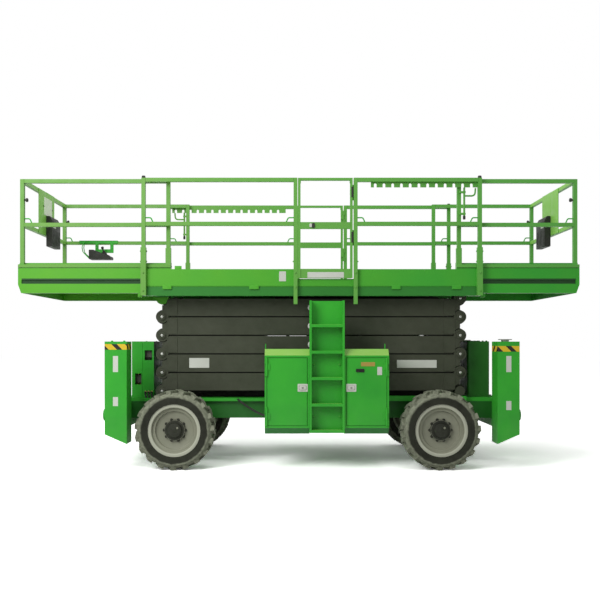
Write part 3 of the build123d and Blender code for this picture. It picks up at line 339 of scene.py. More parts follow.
# Axles, steering knuckles and tie rod: castings and plate in black primer, dull and dusty, with bolted
# kingpin caps, nuts under the tie rod's eyes and a ring of bolts round each drive motor's flange.
IRON, IRON_WORN = (0.03, 0.032, 0.026), (0.075, 0.075, 0.06)
KINGPIN_R, EYE_R = 0.06, 0.036
KINGPIN_CAP = ((-0.001, 0.05), (0.006, 0.05), (0.009, 0.045), (0.01, 0.02), (0.018, 0.017),
               (0.019, 0.009))
DRIVE_R, DRIVE_Y, DRIVE_BOLTS = 0.105, 0.79, 10
DRIVE_FLANGE = ((-0.012, DRIVE_R - 0.002), (-0.011, DRIVE_R + 0.03), (0.01, DRIVE_R + 0.03),
                (0.011, DRIVE_R - 0.002))


def middle(name):
    """The middle of a CAD node's box."""
    return np.mean(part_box(name), 0)


def round_axle(hub, radius, number):
    """Places evenly round a line across the machine, at a radius from a point on it."""
    return hub + radius * circle(*np.eye(3)[::2], number)


running_gear = coat("running_gear", IRON, IRON_WORN, rough=0.6, dust=0.35, peel=0.12, peel_scale=120.0)[0]
dress(running_gear, "front_axle", "rear_axle", "knuckle_near", "knuckle_far", "tie_rod")
axle_low, axle_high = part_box("front_axle")
tie_low, tie_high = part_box("tie_rod")
drive_x, _, drive_z = middle("rear_axle")
caps, nuts, flanges = [], [], []
for s in (-1, 1):
    for z, way in ((axle_high[2], 1), (axle_low[2], -1)):
        seat = (middle("front_axle")[0], s * (axle_high[1] - KINGPIN_R), z)
        caps.append(turned(seat, (0, 0, way), KINGPIN_CAP, 32))
    nuts.append(bolt((middle("tie_rod")[0], s * (tie_high[1] - EYE_R), tie_low[2]), (0, 0, -1), 0.02, 0.02))
    flanges.append(turned((drive_x, s * DRIVE_Y, drive_z), (0, s, 0), DRIVE_FLANGE, 48))
    seats = round_axle((drive_x, s * (DRIVE_Y + 0.01), drive_z), DRIVE_R + 0.016, DRIVE_BOLTS)
    flanges += [bolt(seat, (0, s, 0), 0.009) for seat in seats]
fit("kingpin_caps", caps, "chassis", running_gear)
fit("tie_rod_nuts", nuts, "tie_rod", running_gear)
fit("drive_flanges", flanges, "chassis", running_gear)

# Wheels: pressed steel rims in pale grey paint with a dark drive hub and a ring of wheel nuts, and
# foam-filled tyres whose lugs are pale with dust while the ribbed side walls stay dark.
ENDS, SIDES = (("front", -1), ("rear", 1)), (("near", -1), ("far", 1))
RIM_GREY, RIM_GREY_SHADE = (0.26, 0.27, 0.2), (0.2, 0.205, 0.15)
RIM_EDGE, RIM_EDGE_FROM = (0.44, 0.455, 0.36), 0.262
HUB_BLACK = (0.007, 0.008, 0.004)
RUBBER, RUBBER_DUST = (0.022, 0.024, 0.015), (0.245, 0.262, 0.19)
TREAD_FROM, TREAD_FADE = 0.37, 0.016
WALL_RIBS, WALL_R = 560.0, (0.32, 0.366)
NUT_CIRCLE, NUT_COUNT = 0.122, 10
DISC_OUT = 0.07
DISH = ((-0.012, 0.1), (0.0005, 0.11), (0.0005, 0.205), (0.006, 0.214), (0.03, 0.221), (0.033, 0.228),
        (0.033, 0.246), (0.037, 0.251), (0.058, 0.255), (0.065, 0.262), (0.0675, 0.275), (0.0675, 0.29),
        (0.064, 0.297), (0.056, 0.2985), (-0.012, 0.2985))
NUT = ((-0.004, 0.019), (0.004, 0.019), (0.005, 0.0145), (0.02, 0.0145), (0.022, 0.009), (0.034, 0.009),
       (0.036, 0.007))
HUB_CAP = ((0.0, 0.1185), (0.024, 0.1185), (0.03, 0.113), (0.031, 0.092), (0.036, 0.086), (0.054, 0.08),
           (0.06, 0.07), (0.061, 0.03), (0.064, 0.026), (0.0665, 0.018))
PLUG = ((-0.001, 0.012), (0.006, 0.012), (0.0075, 0.01))
STEM = ((0.17, -0.002), (0.172, 0.02), (0.178, 0.045))
hub_paint = coat("hub_paint", HUB_BLACK, RUBBER, rough=0.62, peel=0.08, peel_scale=90.0)[0]


def from_axle(at_x, at_z, x, z):
    """The distance from an axle's line across the machine at x and z."""
    squares = [count("POWER", count("SUBTRACT", *pair), 2.0) for pair in ((at_x, x), (at_z, z))]
    return count("SQRT", count("ADD", *squares))


for end, _ in ENDS:
    hub_x, wheel_y, hub_z = middle(f"tyre_{end}_near")
    rim_paint, hue, at_x, _, at_z = coat(f"rim_paint_{end}", RIM_GREY, RIM_GREY_SHADE, dust=0.15)[:5]
    over(count("GREATER_THAN", from_axle(at_x, at_z, hub_x, hub_z), RIM_EDGE_FROM), hue, RIM_EDGE)
    for side, s in SIDES:
        wheel = f"{end}_{side}"
        face = np.array((hub_x, s * (DISC_OUT - wheel_y), hub_z))
        dress(rim_paint, f"rim_{wheel}")
        stem = tube([face + (up, s * out, up) for up, out in STEM], 0.006, 8)
        plug = turned(face + (-s * 0.036, s * 0.061, 0.03), (0, s, 0), PLUG, 16)
        dish = turned(face, (0, s, 0), DISH, 72)
        fit(f"rim_dish_{wheel}", [dish, stem, plug], f"wheel_{wheel}", rim_paint)
        hub = [turned(seat, (0, s, 0), NUT, 6) for seat in round_axle(face, NUT_CIRCLE, NUT_COUNT)]
        hub.append(turned(face, (0, s, 0), HUB_CAP, 48))
        fit(f"hub_{wheel}", hub, f"wheel_{wheel}", hub_paint)
    tyre, hue, at_x, _, at_z, place = coat(f"rubber_{end}", RUBBER, HUB_BLACK, 0.75, peel=0.2, peel_scale=70)
    reach = from_axle(at_x, at_z, hub_x, hub_z)
    ragged = count("ADD", reach, grain(place, 18.0, -0.006, 0.006))
    dusty = ramp(ragged, TREAD_FROM, TREAD_FROM + TREAD_FADE)
    over(times(dusty, grain(place, 30.0, 0.55, 1.0)), hue, RUBBER_DUST)
    emboss(times(count("SINE", times(reach, WALL_RIBS)), between(reach, *WALL_R)), 0.5, 0.002)
    dress(tyre, f"tyre_{end}_near", f"tyre_{end}_far")

# Outriggers: square tube boxes in the chassis green with a printed hazard band and two blank labels on
# each outer face, a turned pivot cap on the end, lid bolts or a lug on top, and a bare steel leg inside.
HAZARD_YELLOW, HAZARD_BLACK = (0.7, 0.5, 0.03), (0.012, 0.012, 0.01)
BAND_Z, BAND_REACH = {"front": (1.374, 1.438), "rear": (1.352, 1.416)}, 0.252
STRIPES, STRIPE_FROM = 41.0, 0.3
LABEL_WHITE = (0.62, 0.64, 0.58)
LABEL_Z = {"front": ((1.121, 1.303), (0.736, 0.838)), "rear": ((1.121, 1.303), (0.691, 0.793))}
LABEL_HALF = 0.029
STEEL, STEEL_STAINED = (0.36, 0.36, 0.34), (0.2, 0.19, 0.165)
PIVOT_Z, PIVOT_OUT = 0.626, 0.155
PIVOT_CAP = ((-0.004, 0.066), (0.004, 0.066), (0.006, 0.06), (0.006, 0.044), (0.001, 0.04), (0.001, 0.02),
             (0.01, 0.016), (0.012, 0.01))
LID_BOLT_X = (-0.07, 0.07)
LUG_X, LUG_FOOT_X = (2.3, 2.436), (2.33, 2.406)
FOOT = ((-0.004, 0.085), (0.012, 0.085), (0.022, 0.06), (0.024, 0.03))
bare_steel = coat("bare_steel", STEEL, STEEL_STAINED, rough=0.38, metal=0.85, peel=0.05, peel_scale=400.0)[0]
for end, e in ENDS:
    box_out, box_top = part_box(f"{end}_outrigger_boxes")[1][1:]
    leg_x, leg_y, _ = middle(f"outrigger_leg_{end}_far")
    leg_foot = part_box(f"outrigger_leg_{end}_far")[0][2]
    box_green, hue, at_x, at_y, at_z = coat(f"box_green_{end}", GREEN, GREEN_DEEP, dust=0.12)[:5]
    out = count("ABSOLUTE", at_y)
    slant = count("ADD", count("ADD", at_x, at_z), at_y)
    stripe = count("GREATER_THAN", count("SINE", times(slant, STRIPES)), STRIPE_FROM)
    band = times(between(at_z, *BAND_Z[end]), count("GREATER_THAN", out, box_out - BAND_REACH))
    hue = over(band, hue, blend(stripe, HAZARD_YELLOW, HAZARD_BLACK))
    tall = count("MAXIMUM", *[between(at_z, *z) for z in LABEL_Z[end]])
    wide = between(at_x, *about(leg_x + e * 0.002, LABEL_HALF))
    over(times(tall, wide, count("GREATER_THAN", out, box_out - 0.0005)), hue, LABEL_WHITE)
    dress(box_green, f"{end}_outrigger_boxes")
    for side, s in SIDES:
        leg, mid_y = f"{end}_{side}", s * leg_y
        dress(bare_steel, f"outrigger_leg_{leg}")
        fittings = [turned((leg_x + e * PIVOT_OUT, mid_y, PIVOT_Z), (e, 0, 0), PIVOT_CAP, 40)]
        if end == "front":
            fittings += [bolt((leg_x + x, mid_y, box_top), (0, 0, 1)) for x in LID_BOLT_X]
        else:
            lug = [block(LUG_FOOT_X, about(mid_y, 0.03), (box_top - 0.001, box_top + 0.02)),
                   block(LUG_X, about(mid_y, 0.05), (box_top + 0.018, box_top + 0.028))]
            fit(f"box_lug_{leg}", lug, "chassis", bare_steel)
        fit(f"pivot_cap_{leg}", fittings, "chassis", chassis_green)
        foot = turned((leg_x, mid_y, leg_foot + 0.001), (0, 0, -1), FOOT, 32)
        fit(f"foot_ball_{leg}", [foot], f"leg_{leg}", bare_steel)

# Valve tower and tank: welded green sheet on the rails. The tower has folded seams, and its openings show
# a valve bank with hoses on brass fittings; the tank, darker with painted shade, has a bolted top and a
# bolted foot flange.
HOSE = (0.02, 0.021, 0.017)
BRASS, BRASS_DULL = (0.42, 0.33, 0.14), (0.3, 0.22, 0.09)
HOSE_R = 0.0105
UNION = ((0, 0.015), (0.02, 0.015), (0.022, 0.011), (0.04, 0.011))
BANK_Z, HEADER_Z, HOSE_FOOT_Z = (0.96, 1.06), (1.27, 1.36), 0.83
WALL_UNION_X, WALL_UNION_Z, HOSE_END_Y, HOSE_END_Z = (-1.88, -1.842, -1.804), 0.85, 0.525, 0.783
CABINET_HOSE = ((-0.735, -0.56, 0.77), (0.1, -0.06, -0.1), (-0.386, -0.86, 0.6), (0.3, -0.05, -0.05))
SEAM_X = -1.926
# The tank's darker green is painted shade.
TANK_SHADED_GREEN, TANK_SHADED_GREEN_DEEP = (0.02, 0.15, 0.015), (0.014, 0.1, 0.012)
TANK_BOLT_Y = (-0.36, 0.36)


def hose(start, start_way, end, end_way, radius=HOSE_R):
    """A hose between two fittings: the cubic that leaves the start along one way and reaches the end
    along another, with a round section."""
    t = np.linspace(0, 1, 24)
    shares = (2 * t ** 3 - 3 * t ** 2 + 1, t ** 3 - 2 * t ** 2 + t, 3 * t ** 2 - 2 * t ** 3, t ** 3 - t ** 2)
    return tube(np.transpose(shares) @ np.array((start, start_way, end, end_way)), radius)


hose_rubber = coat("hose_rubber", HOSE, IRON, rough=0.55, peel=0.05, peel_scale=500.0)[0]
brass = coat("brass_fitting", BRASS, BRASS_DULL, rough=0.35, metal=0.8)[0]
tank_shaded_green = coat("tank_shaded_green", TANK_SHADED_GREEN, TANK_SHADED_GREEN_DEEP)[0]
dress(chassis_green, "valve_tower")
dress(tank_shaded_green, "tank")
tower_low, tower_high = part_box("valve_tower")
left, right, wall = tower_low[0], tower_high[0], tower_high[1]
bank, unions, hoses, seams = [], [], [], []
for s in (-1, 1):
    y = s * (wall - 0.075)
    bank.append(block((left + 0.03, right - 0.03), about(y, 0.03), BANK_Z, 0.004))
    bank.append(block((left + 0.12, right - 0.03), about(y, 0.025), HEADER_Z, 0.004))
    for x in np.linspace(left + 0.06, right - 0.06, 5):
        unions.append(turned((x, y, BANK_Z[1] - 0.005), (0, 0, 1), UNION, 6))
        unions.append(turned((x, y, BANK_Z[0] + 0.01), (0, 0, -1), UNION, 6))
        hose_foot = (x - 0.01, y - s * 0.2, HOSE_FOOT_Z)
        hoses.append(hose((x, y, BANK_Z[0] - 0.025), (0, 0, -0.25), hose_foot, (0, -s * 0.3, -0.1)))
        top_x = left + 0.135 + 0.45 * (x - left - 0.06)
        rise = (0, 0, 0.2)
        hoses.append(hose((x, y, BANK_Z[1] + 0.03), rise, (top_x, y, HEADER_Z[0] + 0.002), rise))
    for x in WALL_UNION_X:
        unions.append(turned((x, s * (wall - 0.002), WALL_UNION_Z), (0, s, 0), UNION, 6))
        start, hose_end = (x, s * (wall + 0.034), WALL_UNION_Z), (x + 0.03, s * HOSE_END_Y, HOSE_END_Z)
        hoses.append(hose(start, (0, s * 0.1, 0), hose_end, (0.02, 0, -0.12)))
    seam_y, seam_z = on_side(s, wall - 0.001, wall + 0.004), (tower_low[2] + 0.01, tower_high[2] - 0.01)
    seams.append(block(about(SEAM_X, 0.005), seam_y, seam_z, 0.0015))
hoses.append(hose(*CABINET_HOSE, 0.013))
fit("tower_seams", seams, "chassis", chassis_green)
fit("valve_bank", bank, "chassis", running_gear)
fit("valve_fittings", unions, "chassis", brass)
fit("valve_hoses", hoses, "chassis", hose_rubber)
low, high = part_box("tank")
flange = block((low[0] - 0.012, high[0] + 0.03), (low[1] - 0.02, high[1] + 0.02),
               (low[2] + 0.001, low[2] + 0.016))
bolts = [bolt((high[0] + 0.016, y, low[2] + 0.015), (0, 0, 1)) for y in np.linspace(*TANK_BOLT_Y, 6)]
bolts += [bolt((x, y, high[2]), (0, 0, 1)) for y in np.linspace(*TANK_BOLT_Y, 5)
          for x in np.linspace(low[0] + 0.03, high[0] - 0.03, 3)]
fit("tank_flange", [flange] + bolts, "chassis", tank_shaded_green)

# Cabinets: bevelled sheet-steel housings with hinged doors, painted on both sides, with thin door stays
# on top, painted light on the upward bevels and painted shade on the downward ones. Each door has a paddle
# latch on a pale plate; one near door has a dark gauge and blank labels.
LATCH_PALE = (0.55, 0.56, 0.5)
LATCH_GREY, LATCH_GREY_DULL = (0.3, 0.31, 0.27), (0.24, 0.25, 0.21)
GAUGE_BLACK = (0.01, 0.011, 0.01)
LABEL_TAN, LABEL_TAN_DULL = (0.42, 0.3, 0.07), (0.35, 0.25, 0.06)
LABEL_GREY = (0.52, 0.54, 0.48)
PLASTIC, PLASTIC_WORN = (0.018, 0.019, 0.016), (0.03, 0.031, 0.026)
# The bevel colours are painted light on faces that look up at a slant and painted shade on those that look
# down.
BEVEL_PAINTED_LIGHT, BEVEL_PAINTED_SHADE = (0.23, 0.47, 0.075), (0.018, 0.2, 0.026)
SKIN_Y = 1.1
LATCH_Z, LATCH_IN = 0.94, 0.049
LATCH_SHEETS = ((0.058, 0.045, 0.004, 0.008), (0.042, 0.027, 0.005, 0.01), (0.038, 0.023, 0.011, 0.012))
LATCH_BARREL = ((0, 0.012), (0.004, 0.012), (0.005, 0.01), (0.005, 0.004), (0.002, 0.003))
STAY_X, STAY_Y, STAY_Z = (-0.382, 0.992), 0.99, (1.379, 1.44)
GAUGE_X, GAUGE_Z = (0.102, 0.197), (1.118, 1.156)
TAN_X, TAN_Z = (0.16, 0.32), (1.185, 1.232)
PALE_X, PALE_Z = (0.345, 0.4), (1.085, 1.178)


def facing(hue):
    """The three parts of the direction in which the faces of a finish look, each from -1 to 1."""
    normal = node(hue.id_data, "NewGeometry").outputs["Normal"]
    return node(hue.id_data, "SeparateXYZ", {0: normal}).outputs


cabinet_green, hue = coat("cabinet_green", GREEN, GREEN_DEEP, rough=0.36, dust=0.08)[:2]
looks_up = facing(hue)["Z"]
# Painted light on upward bevels, painted shade on downward ones.
hue = over(between(looks_up, 0.3, 0.95), hue, BEVEL_PAINTED_LIGHT)
over(between(looks_up, -0.95, -0.3), hue, BEVEL_PAINTED_SHADE)
latch_plate = coat("latch_plate", LATCH_PALE, LABEL_WHITE, rough=0.4)[0]
latch_grey = coat("latch_grey", LATCH_GREY, LATCH_GREY_DULL, rough=0.4)[0]
gauge_glass = coat("gauge_glass", GAUGE_BLACK, HUB_BLACK, rough=0.16)[0]
label_tan = coat("label_tan", LABEL_TAN, LABEL_TAN_DULL, rough=0.5)[0]
label_white = coat("label_white", LABEL_WHITE, LABEL_GREY, rough=0.5)[0]
plastic = coat("black_plastic", PLASTIC, PLASTIC_WORN, rough=0.5, peel=0.1, peel_scale=350.0)[0]


def sheet(x, y, z, thick=0.002, corner=0.004):
    """A thin plate against a wall: spans along the machine and upwards, rounded corners, standing out
    from the wall at y."""
    s = np.sign(y)
    return block(x, (y - s * 0.0005, y + s * thick), z, min(0.0015, thick / 2), corner, 1)


dress(running_gear, "engine")
for side, s in SIDES:
    face = s * SKIN_Y
    dress(cabinet_green, f"cabinets_{side}")
    for end, e in ENDS:
        door = f"door_{end}_{side}"
        dress(cabinet_green, door)
        low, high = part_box(door)
        latch_x = (low if e > 0 else high)[0] + e * LATCH_IN
        sheets = [sheet(about(latch_x, wide), face, about(LATCH_Z, tall), *depth)
                  for wide, tall, *depth in LATCH_SHEETS]
        barrel = turned((latch_x, face + s * 0.01, LATCH_Z), (0, s, 0), LATCH_BARREL)
        fit(f"{door}_latch", sheets[::2], door, latch_plate)
        fit(f"{door}_paddle", [sheets[1], barrel], door, latch_grey)
    stays = [tube([(x, s * STAY_Y, z) for z in np.linspace(*STAY_Z, 3)], 0.006) for x in STAY_X]
    fit(f"door_stays_{side}", stays, "chassis", cabinet_green)
door, face = "door_rear_near", -SKIN_Y
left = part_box(door)[0][0]
gauge = sheet(np.add(left, GAUGE_X), face, GAUGE_Z, 0.012, 0.008)
fit("door_gauge", [gauge], door, gauge_glass)
fit("door_label_tan", [sheet(np.add(left, TAN_X), face, TAN_Z)], door, label_tan)
fit("door_label_pale", [sheet(np.add(left, PALE_X), face, PALE_Z)], door, label_white)

# Ladders: folded sheet back with two side plates and five treads, each tread with rows of pressed grip
# studs and a brighter nosing; welded up, painted green and bolted between the cabinets on both sides.
NOSE_GREEN = (0.12, 0.52, 0.05)
TREADS, TREAD_PITCH, TREAD_T = 5, 0.3, 0.028
STUD_Y, STUDS_ACROSS = (1.045, 1.075, 1.105), 13
STUD = ((0, 0.008), (0.004, 0.006), (0.0045, 0.003))
NOSE_Y = (1.118, 1.1395)
FIXING_Y, FIXING_Z = 1.0115, (0.6, 1.2, 1.65)
nose_green = coat("nose_green", NOSE_GREEN, GREEN, rough=0.4)[0]
dress(cabinet_green, "ladders")
low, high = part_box("ladders")
studs, noses, fixings = [], [], []
for s in (-1, 1):
    for i in range(TREADS):
        top = low[2] + TREAD_PITCH * i + TREAD_T
        stud_x = np.linspace(low[0] + 0.045, high[0] - 0.045, STUDS_ACROSS)
        studs += [turned((x, s * y, top - 0.001), (0, 0, 1), STUD, 8) for y in STUD_Y for x in stud_x]
        nose_x, nose_z = (low[0] + 0.026, high[0] - 0.026), (top - 0.0005, top + 0.004)
        noses.append(block(nose_x, on_side(s, *NOSE_Y), nose_z, 0.0015))
    fixing_x = (low[0] + 0.05, high[0] - 0.05)
    fixings += [bolt((x, s * FIXING_Y, z), (0, s, 0)) for z in FIXING_Z for x in fixing_x]
fit("tread_studs", studs + fixings, "chassis", cabinet_green)
fit("tread_noses", noses, "chassis", nose_green)

# Scissor arms: five crossed pairs of deep box bars a side in dark grey-green paint, with doubler plates
# at the ends, headed pins with pale grease nipples, spacer discs, rubber rest strips and blank plates.
ARM_DARK, ARM_WORN = (0.036, 0.042, 0.025), (0.05, 0.056, 0.036)
NIPPLE_PALE = (0.62, 0.63, 0.58)
ARM_FACE, PIN_FACE, LOBE_R = 0.62, 0.632, 0.075
ARM_GAP = 0.0152
PIN_HEAD = ((-0.002, 0.04), (0.004, 0.04), (0.006, 0.037), (0.006, 0.026), (0.003, 0.024), (0.003, 0.012))
SPACER_Y, SPACER = 0.5205, ((0, 0.088), (0.004, 0.088))
LEVELS = 5
REST_Y = (0.536, 0.56)
OPEN_LEVEL = 3
OPEN_RESTS = ((-1.549, -0.415), (-0.152, -0.116), (0.578, 0.6), (0.73, 0.769), (1.164, 1.236),
              (1.559, 1.864))
NIPPLE = ((0, 0.015), (0.004, 0.015), (0.006, 0.012), (0.007, 0.007), (0.013, 0.006), (0.015, 0.004))
NIPPLE_WIDER = (1.0, 2.7, 1.0)
BLANKS = (((-1.314, -1.074), (1.152, 1.27)), ((1.181, 1.658), (1.152, 1.246)))
arm_paint = coat("arm_paint", ARM_DARK, ARM_WORN, rough=0.62, dust=0.05, dust_top=2.2, peel=0.05)[0]
nipple_zinc = coat("grease_nipple", NIPPLE_PALE, STEEL, rough=0.35, metal=0.3)[0]
for level in range(1, LEVELS + 1):
    dress(arm_paint, f"outer_arms_{level}", f"inner_arms_{level}")
    low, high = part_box(f"outer_arms_{level}")
    left, right, foot, head = low[0] + LOBE_R, high[0] - LOBE_R, low[2] + LOBE_R, high[2] - LOBE_R
    pins = ((left, foot), ((left + right) / 2, (foot + head) / 2), (right, head))
    rests = OPEN_RESTS if level == OPEN_LEVEL else ((left + 0.092, right - 0.076),)
    rest_z = (head - ARM_GAP / 2 - 0.001, head + ARM_GAP / 2 - 0.0008)
    plates, nipples, strips = [], [], []
    for s in (-1, 1):
        for x in ((left + 0.06, left + 0.185), (right - 0.195, right - 0.06)):
            plates.append(sheet(x, s * ARM_FACE, (foot + 0.016, head - 0.016), 0.006, 0.01))
        for (x, z), wider in zip(pins, NIPPLE_WIDER):
            plates.append(turned((x, s * PIN_FACE, z), (0, s, 0), PIN_HEAD, 32))
            seat = (x, s * (PIN_FACE + 0.003), z)
            nipples.append(turned(seat, (0, s, 0), np.array(NIPPLE) * (1.0, wider), 24))
        strips += [turned((x, s * SPACER_Y, z), (0, s, 0), SPACER, 40) for x, z in pins[::2]]
        if level < LEVELS:
            strips += [block(x, on_side(s, *REST_Y), rest_z, 0.002, None, 0) for x in rests]
    fit(f"arm_doublers_{level}", plates, f"outer_{level}", arm_paint)
    fit(f"pin_nipples_{level}", nipples, f"outer_{level}", nipple_zinc)
    fit(f"arm_rests_{level}", strips, f"outer_{level}", hose_rubber)
fit("arm_plates", [sheet(x, -ARM_FACE, z) for x, z in BLANKS], "outer_2", label_white)

# Lift cylinders: two long painted barrels with a gland ring at the mouth, and chromed rods that
# share a crosshead between the upper inner arms.
CHROME, CHROME_DULL = (0.62, 0.63, 0.62), (0.55, 0.56, 0.55)
BARREL_Y, BARREL_EYE_R, HEAD_R, MOUTH_GAP = 0.22, 0.095, 0.058, 0.05
GLAND = ((-0.05, 0.0755), (-0.047, 0.079), (0.006, 0.079), (0.01, 0.076), (0.011, 0.052), (0.0115, 0.0455))
chrome = coat("rod_chrome", CHROME, CHROME_DULL, rough=0.14, metal=1.0, peel=0.0)[0]
dress(arm_paint, "lift_barrels")
dress(chrome, "lift_rods")
barrel_low, rod_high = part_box("lift_barrels")[0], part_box("lift_rods")[1]
foot = np.array((barrel_low[0] + BARREL_EYE_R, 0, barrel_low[2] + BARREL_EYE_R))
head = np.array((rod_high[0] - HEAD_R, 0, rod_high[2] - HEAD_R))
way = (head - foot) / np.linalg.norm(head - foot)
mouth = foot + way * (np.linalg.norm(head - foot) - HEAD_R - MOUTH_GAP)
glands = [turned(mouth + (0, s * BARREL_Y, 0), way, GLAND, 48) for s in (-1, 1)]
fit("cylinder_glands", glands, "lift_barrels", arm_paint)

# Main deck: chequer-plate floor on folded side channels, sprayed in the lighter green of the upper works,
# painted lit at the left end and shaded at the right, with painted shade in the recessed channel; with welded
# tabs under the fascia, a wear block at each corner, one blank label, and a dark stiffener along the middle
# under the floor.
# The upper works' green is painted lit at the left end and painted shaded at the right; the channel colour is
# painted shade in the recess below the fascia.
DECK_LIT_GREEN, DECK_SHADED_GREEN = (0.1, 0.385, 0.02), (0.034, 0.34, 0.032)
LIGHT_FALLOFF_X = (-2.6, 2.6)
CHANNEL_PAINTED_SHADE, CHANNEL_Z = (0.026, 0.19, 0.024), (2.0, 2.1085)
TREAD_CELL, BAR_LONG, BAR_SHORT = 0.036, 2.2, 22.0
FLOOR_Z = (2.19, 2.23)
TAB_X, TAB_Z = ((-1.591, -1.486), (-0.579, -0.467), (1.084, 1.188), (1.788, 1.898)), (2.078, 2.124)
TOP_TAB_X = (-1.451, -1.37)
WEAR_Z, WEAR_BOLT_Z = (1.985, 2.03), 2.008
STIFFENER_X, STIFFENER_Z = (-0.3, 1.8), (1.985, 2.15)
STICKER_X, STICKER_Z = (-0.23, -0.149), (2.171, 2.287)


def chequer(at_x, at_y):
    """Raised tread bars, height 0 to 1: in each square cell an ellipse on one diagonal, turned to the
    other diagonal in every second cell."""
    cells = [count("DIVIDE", at, TREAD_CELL) for at in (at_x, at_y)]
    u, v = (count("SUBTRACT", count("FRACT", cell), 0.5) for cell in cells)
    step = count("ADD", *[count("FLOOR", cell) for cell in cells])
    v = times(v, count("SUBTRACT", times(count("PINGPONG", step, 1.0), 2.0), 1.0))
    long_way, short_way = (count("POWER", count(both, u, v), 2.0) for both in ("ADD", "SUBTRACT"))
    return ramp(count("ADD", times(long_way, BAR_LONG), times(short_way, BAR_SHORT)), 1.0, 0.55)


def floor_plate(name):
    """The upper works' green, painted lit at the left end and shaded at the right, with worn tread bars on
    every face that looks up at deck height.
    """
    material, hue, at_x, at_y, at_z, place = coat(name, DECK_LIT_GREEN, DECK_SHADED_GREEN, drift=LIGHT_FALLOFF_X)
    level = times(count("GREATER_THAN", facing(hue)["Z"], 0.9), between(at_z, *FLOOR_Z))
    bars = times(chequer(at_x, at_y), level)
    emboss(bars, 0.8, 0.003)
    return material, over(times(bars, grain(place, 3.0, 0.0, 0.45)), hue, STEEL), at_x, at_y, at_z


deck_floor, hue, _, _, at_z = floor_plate("deck_floor")
# Painted shade: the recessed channel below the fascia is darker.
over(between(at_z, *CHANNEL_Z), hue, CHANNEL_PAINTED_SHADE)
# The tabs' paint carries the same painted light, lit at the left and shaded at the right.
deck_green = coat("deck_green", DECK_LIT_GREEN, DECK_SHADED_GREEN, drift=LIGHT_FALLOFF_X)[0]
dress(deck_floor, "main_deck")
deck_low, deck_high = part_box("main_deck")
fascia, fascia_top = deck_high[1:]
tabs = []
for s in (-1, 1):
    tabs += [block(x, on_side(s, fascia - 0.001, fascia + 0.01), TAB_Z) for x in TAB_X]
    top_tab_z = (fascia_top - 0.001, fascia_top + 0.038)
    tabs.append(block(TOP_TAB_X, on_side(s, fascia - 0.012, fascia - 0.003), top_tab_z))
    for x, e in ((deck_low[0], -1), (deck_high[0], 1)):
        wear_y = on_side(s, fascia - 0.045, fascia + 0.001)
        tabs.append(block((x - e * 0.01, x + e * 0.04), wear_y, WEAR_Z, 0.004))
        tabs.append(bolt((x + e * 0.02, wear_y[1], WEAR_BOLT_Z), (0, s, 0)))
stiffener = block(STIFFENER_X, about(0, 0.004), STIFFENER_Z, 0.001)
fit("deck_stiffener", [stiffener], "platform", tray_black)
fit("fascia_tabs", tabs, "platform", deck_green)
fit("fascia_label", [sheet(STICKER_X, -fascia, STICKER_Z)], "platform", label_white)

# Main guard rails: square steel tube welded up and bolted in sockets outside the fascia, with black
# caps on the end posts and bent wire loops for lanyards beside the posts. The paint is painted lit at the
# left end and shaded at the right, and carries a paler painted reflection on the inner faces of the rails
# and plates that cross the platform's ends.
# The rails' green runs from a painted lit colour at the left end to a painted shaded one at the right, and
# the pale colour on faces that look inward across the ends is a painted reflection.
RAIL_LIT_GREEN, RAIL_SHADED_GREEN = (0.145, 0.335, 0.058), (0.105, 0.39, 0.066)
CROSS_PAINTED_REFLECTION, CROSS_HALF = (0.27, 0.58, 0.11), 0.79
CAP_BLACK, CAP_FROM = (0.014, 0.014, 0.012), 3.3727
CAP_RING = ((0, 0.0222), (0.012, 0.0222), (0.019, 0.0212), (0.0232, 0.0192))
TUBE, SOCKET = 0.0225, 0.0305
MID_Z, TOP_Z = 2.83825, 3.35
GATE_GAPS = (0.0285, 0.0205)
LOOP_UP, LOOP_FLAT, LOOP_FOOT, LOOP_BEND, LOOP_R = 0.05, 0.062, 0.086, 0.016, 0.0075
SOCKET_BOLT_Z, END_BOLT_Z, GATE_BOLT_Z = (2.4, 2.52), (2.06, 2.27), (2.1, 2.27)
BEAD_R, BEAD_PITCH, BEAD_SWELL, BEAD_OUT = 0.0035, 0.006, 0.22, 0.001
rail_green, hue, at_x, at_y, at_z = coat("rail_green", RAIL_LIT_GREEN, RAIL_SHADED_GREEN, drift=LIGHT_FALLOFF_X)[:5]
# Painted reflection: faces that look inward across the platform's ends are paler.
inward = count("LESS_THAN", times(facing(hue)["X"], at_x), -1.0)
hue = over(times(inward, between(at_y, *about(0, CROSS_HALF))), hue, CROSS_PAINTED_REFLECTION)
over(count("GREATER_THAN", at_z, CAP_FROM), hue, CAP_BLACK)
dress(rail_green, "main_rails")


def bend(corners, radius, steps=7):
    """A bent bar: straight runs between corner points, each inner corner rounded by an arc of the
    parabola through its two tangent points."""
    corners = np.asarray(corners, float)
    at, in_run, out_run = corners[1:-1], corners[:-2] - corners[1:-1], corners[2:] - corners[1:-1]
    in_length, out_length = (np.linalg.norm(run, axis=1)[:, None] for run in (in_run, out_run))
    cut = np.minimum(radius, 0.48 * np.minimum(in_length, out_length))
    start, end = at + in_run / in_length * cut, at + out_run / out_length * cut
    t = np.linspace(0, 1, steps)[None, :, None]
    arcs = (1 - t) ** 2 * start[:, None] + 2 * t * (1 - t) * at[:, None] + t ** 2 * end[:, None]
    return np.concatenate([corners[:1], arcs.reshape(-1, corners.shape[1]), corners[-1:]])


def lanyard_loop(x, way, y):
    """A wire loop from a post's face: out level above the mid rail, then bent down on to the rail."""
    foot = MID_Z + TUBE
    corners = [(x - way * 0.002, y, foot + LOOP_UP), (x + way * LOOP_FLAT, y, foot + LOOP_UP),
               (x + way * LOOP_FOOT, y, foot - 0.002)]
    return tube(bend(corners, LOOP_BEND), LOOP_R, 8)


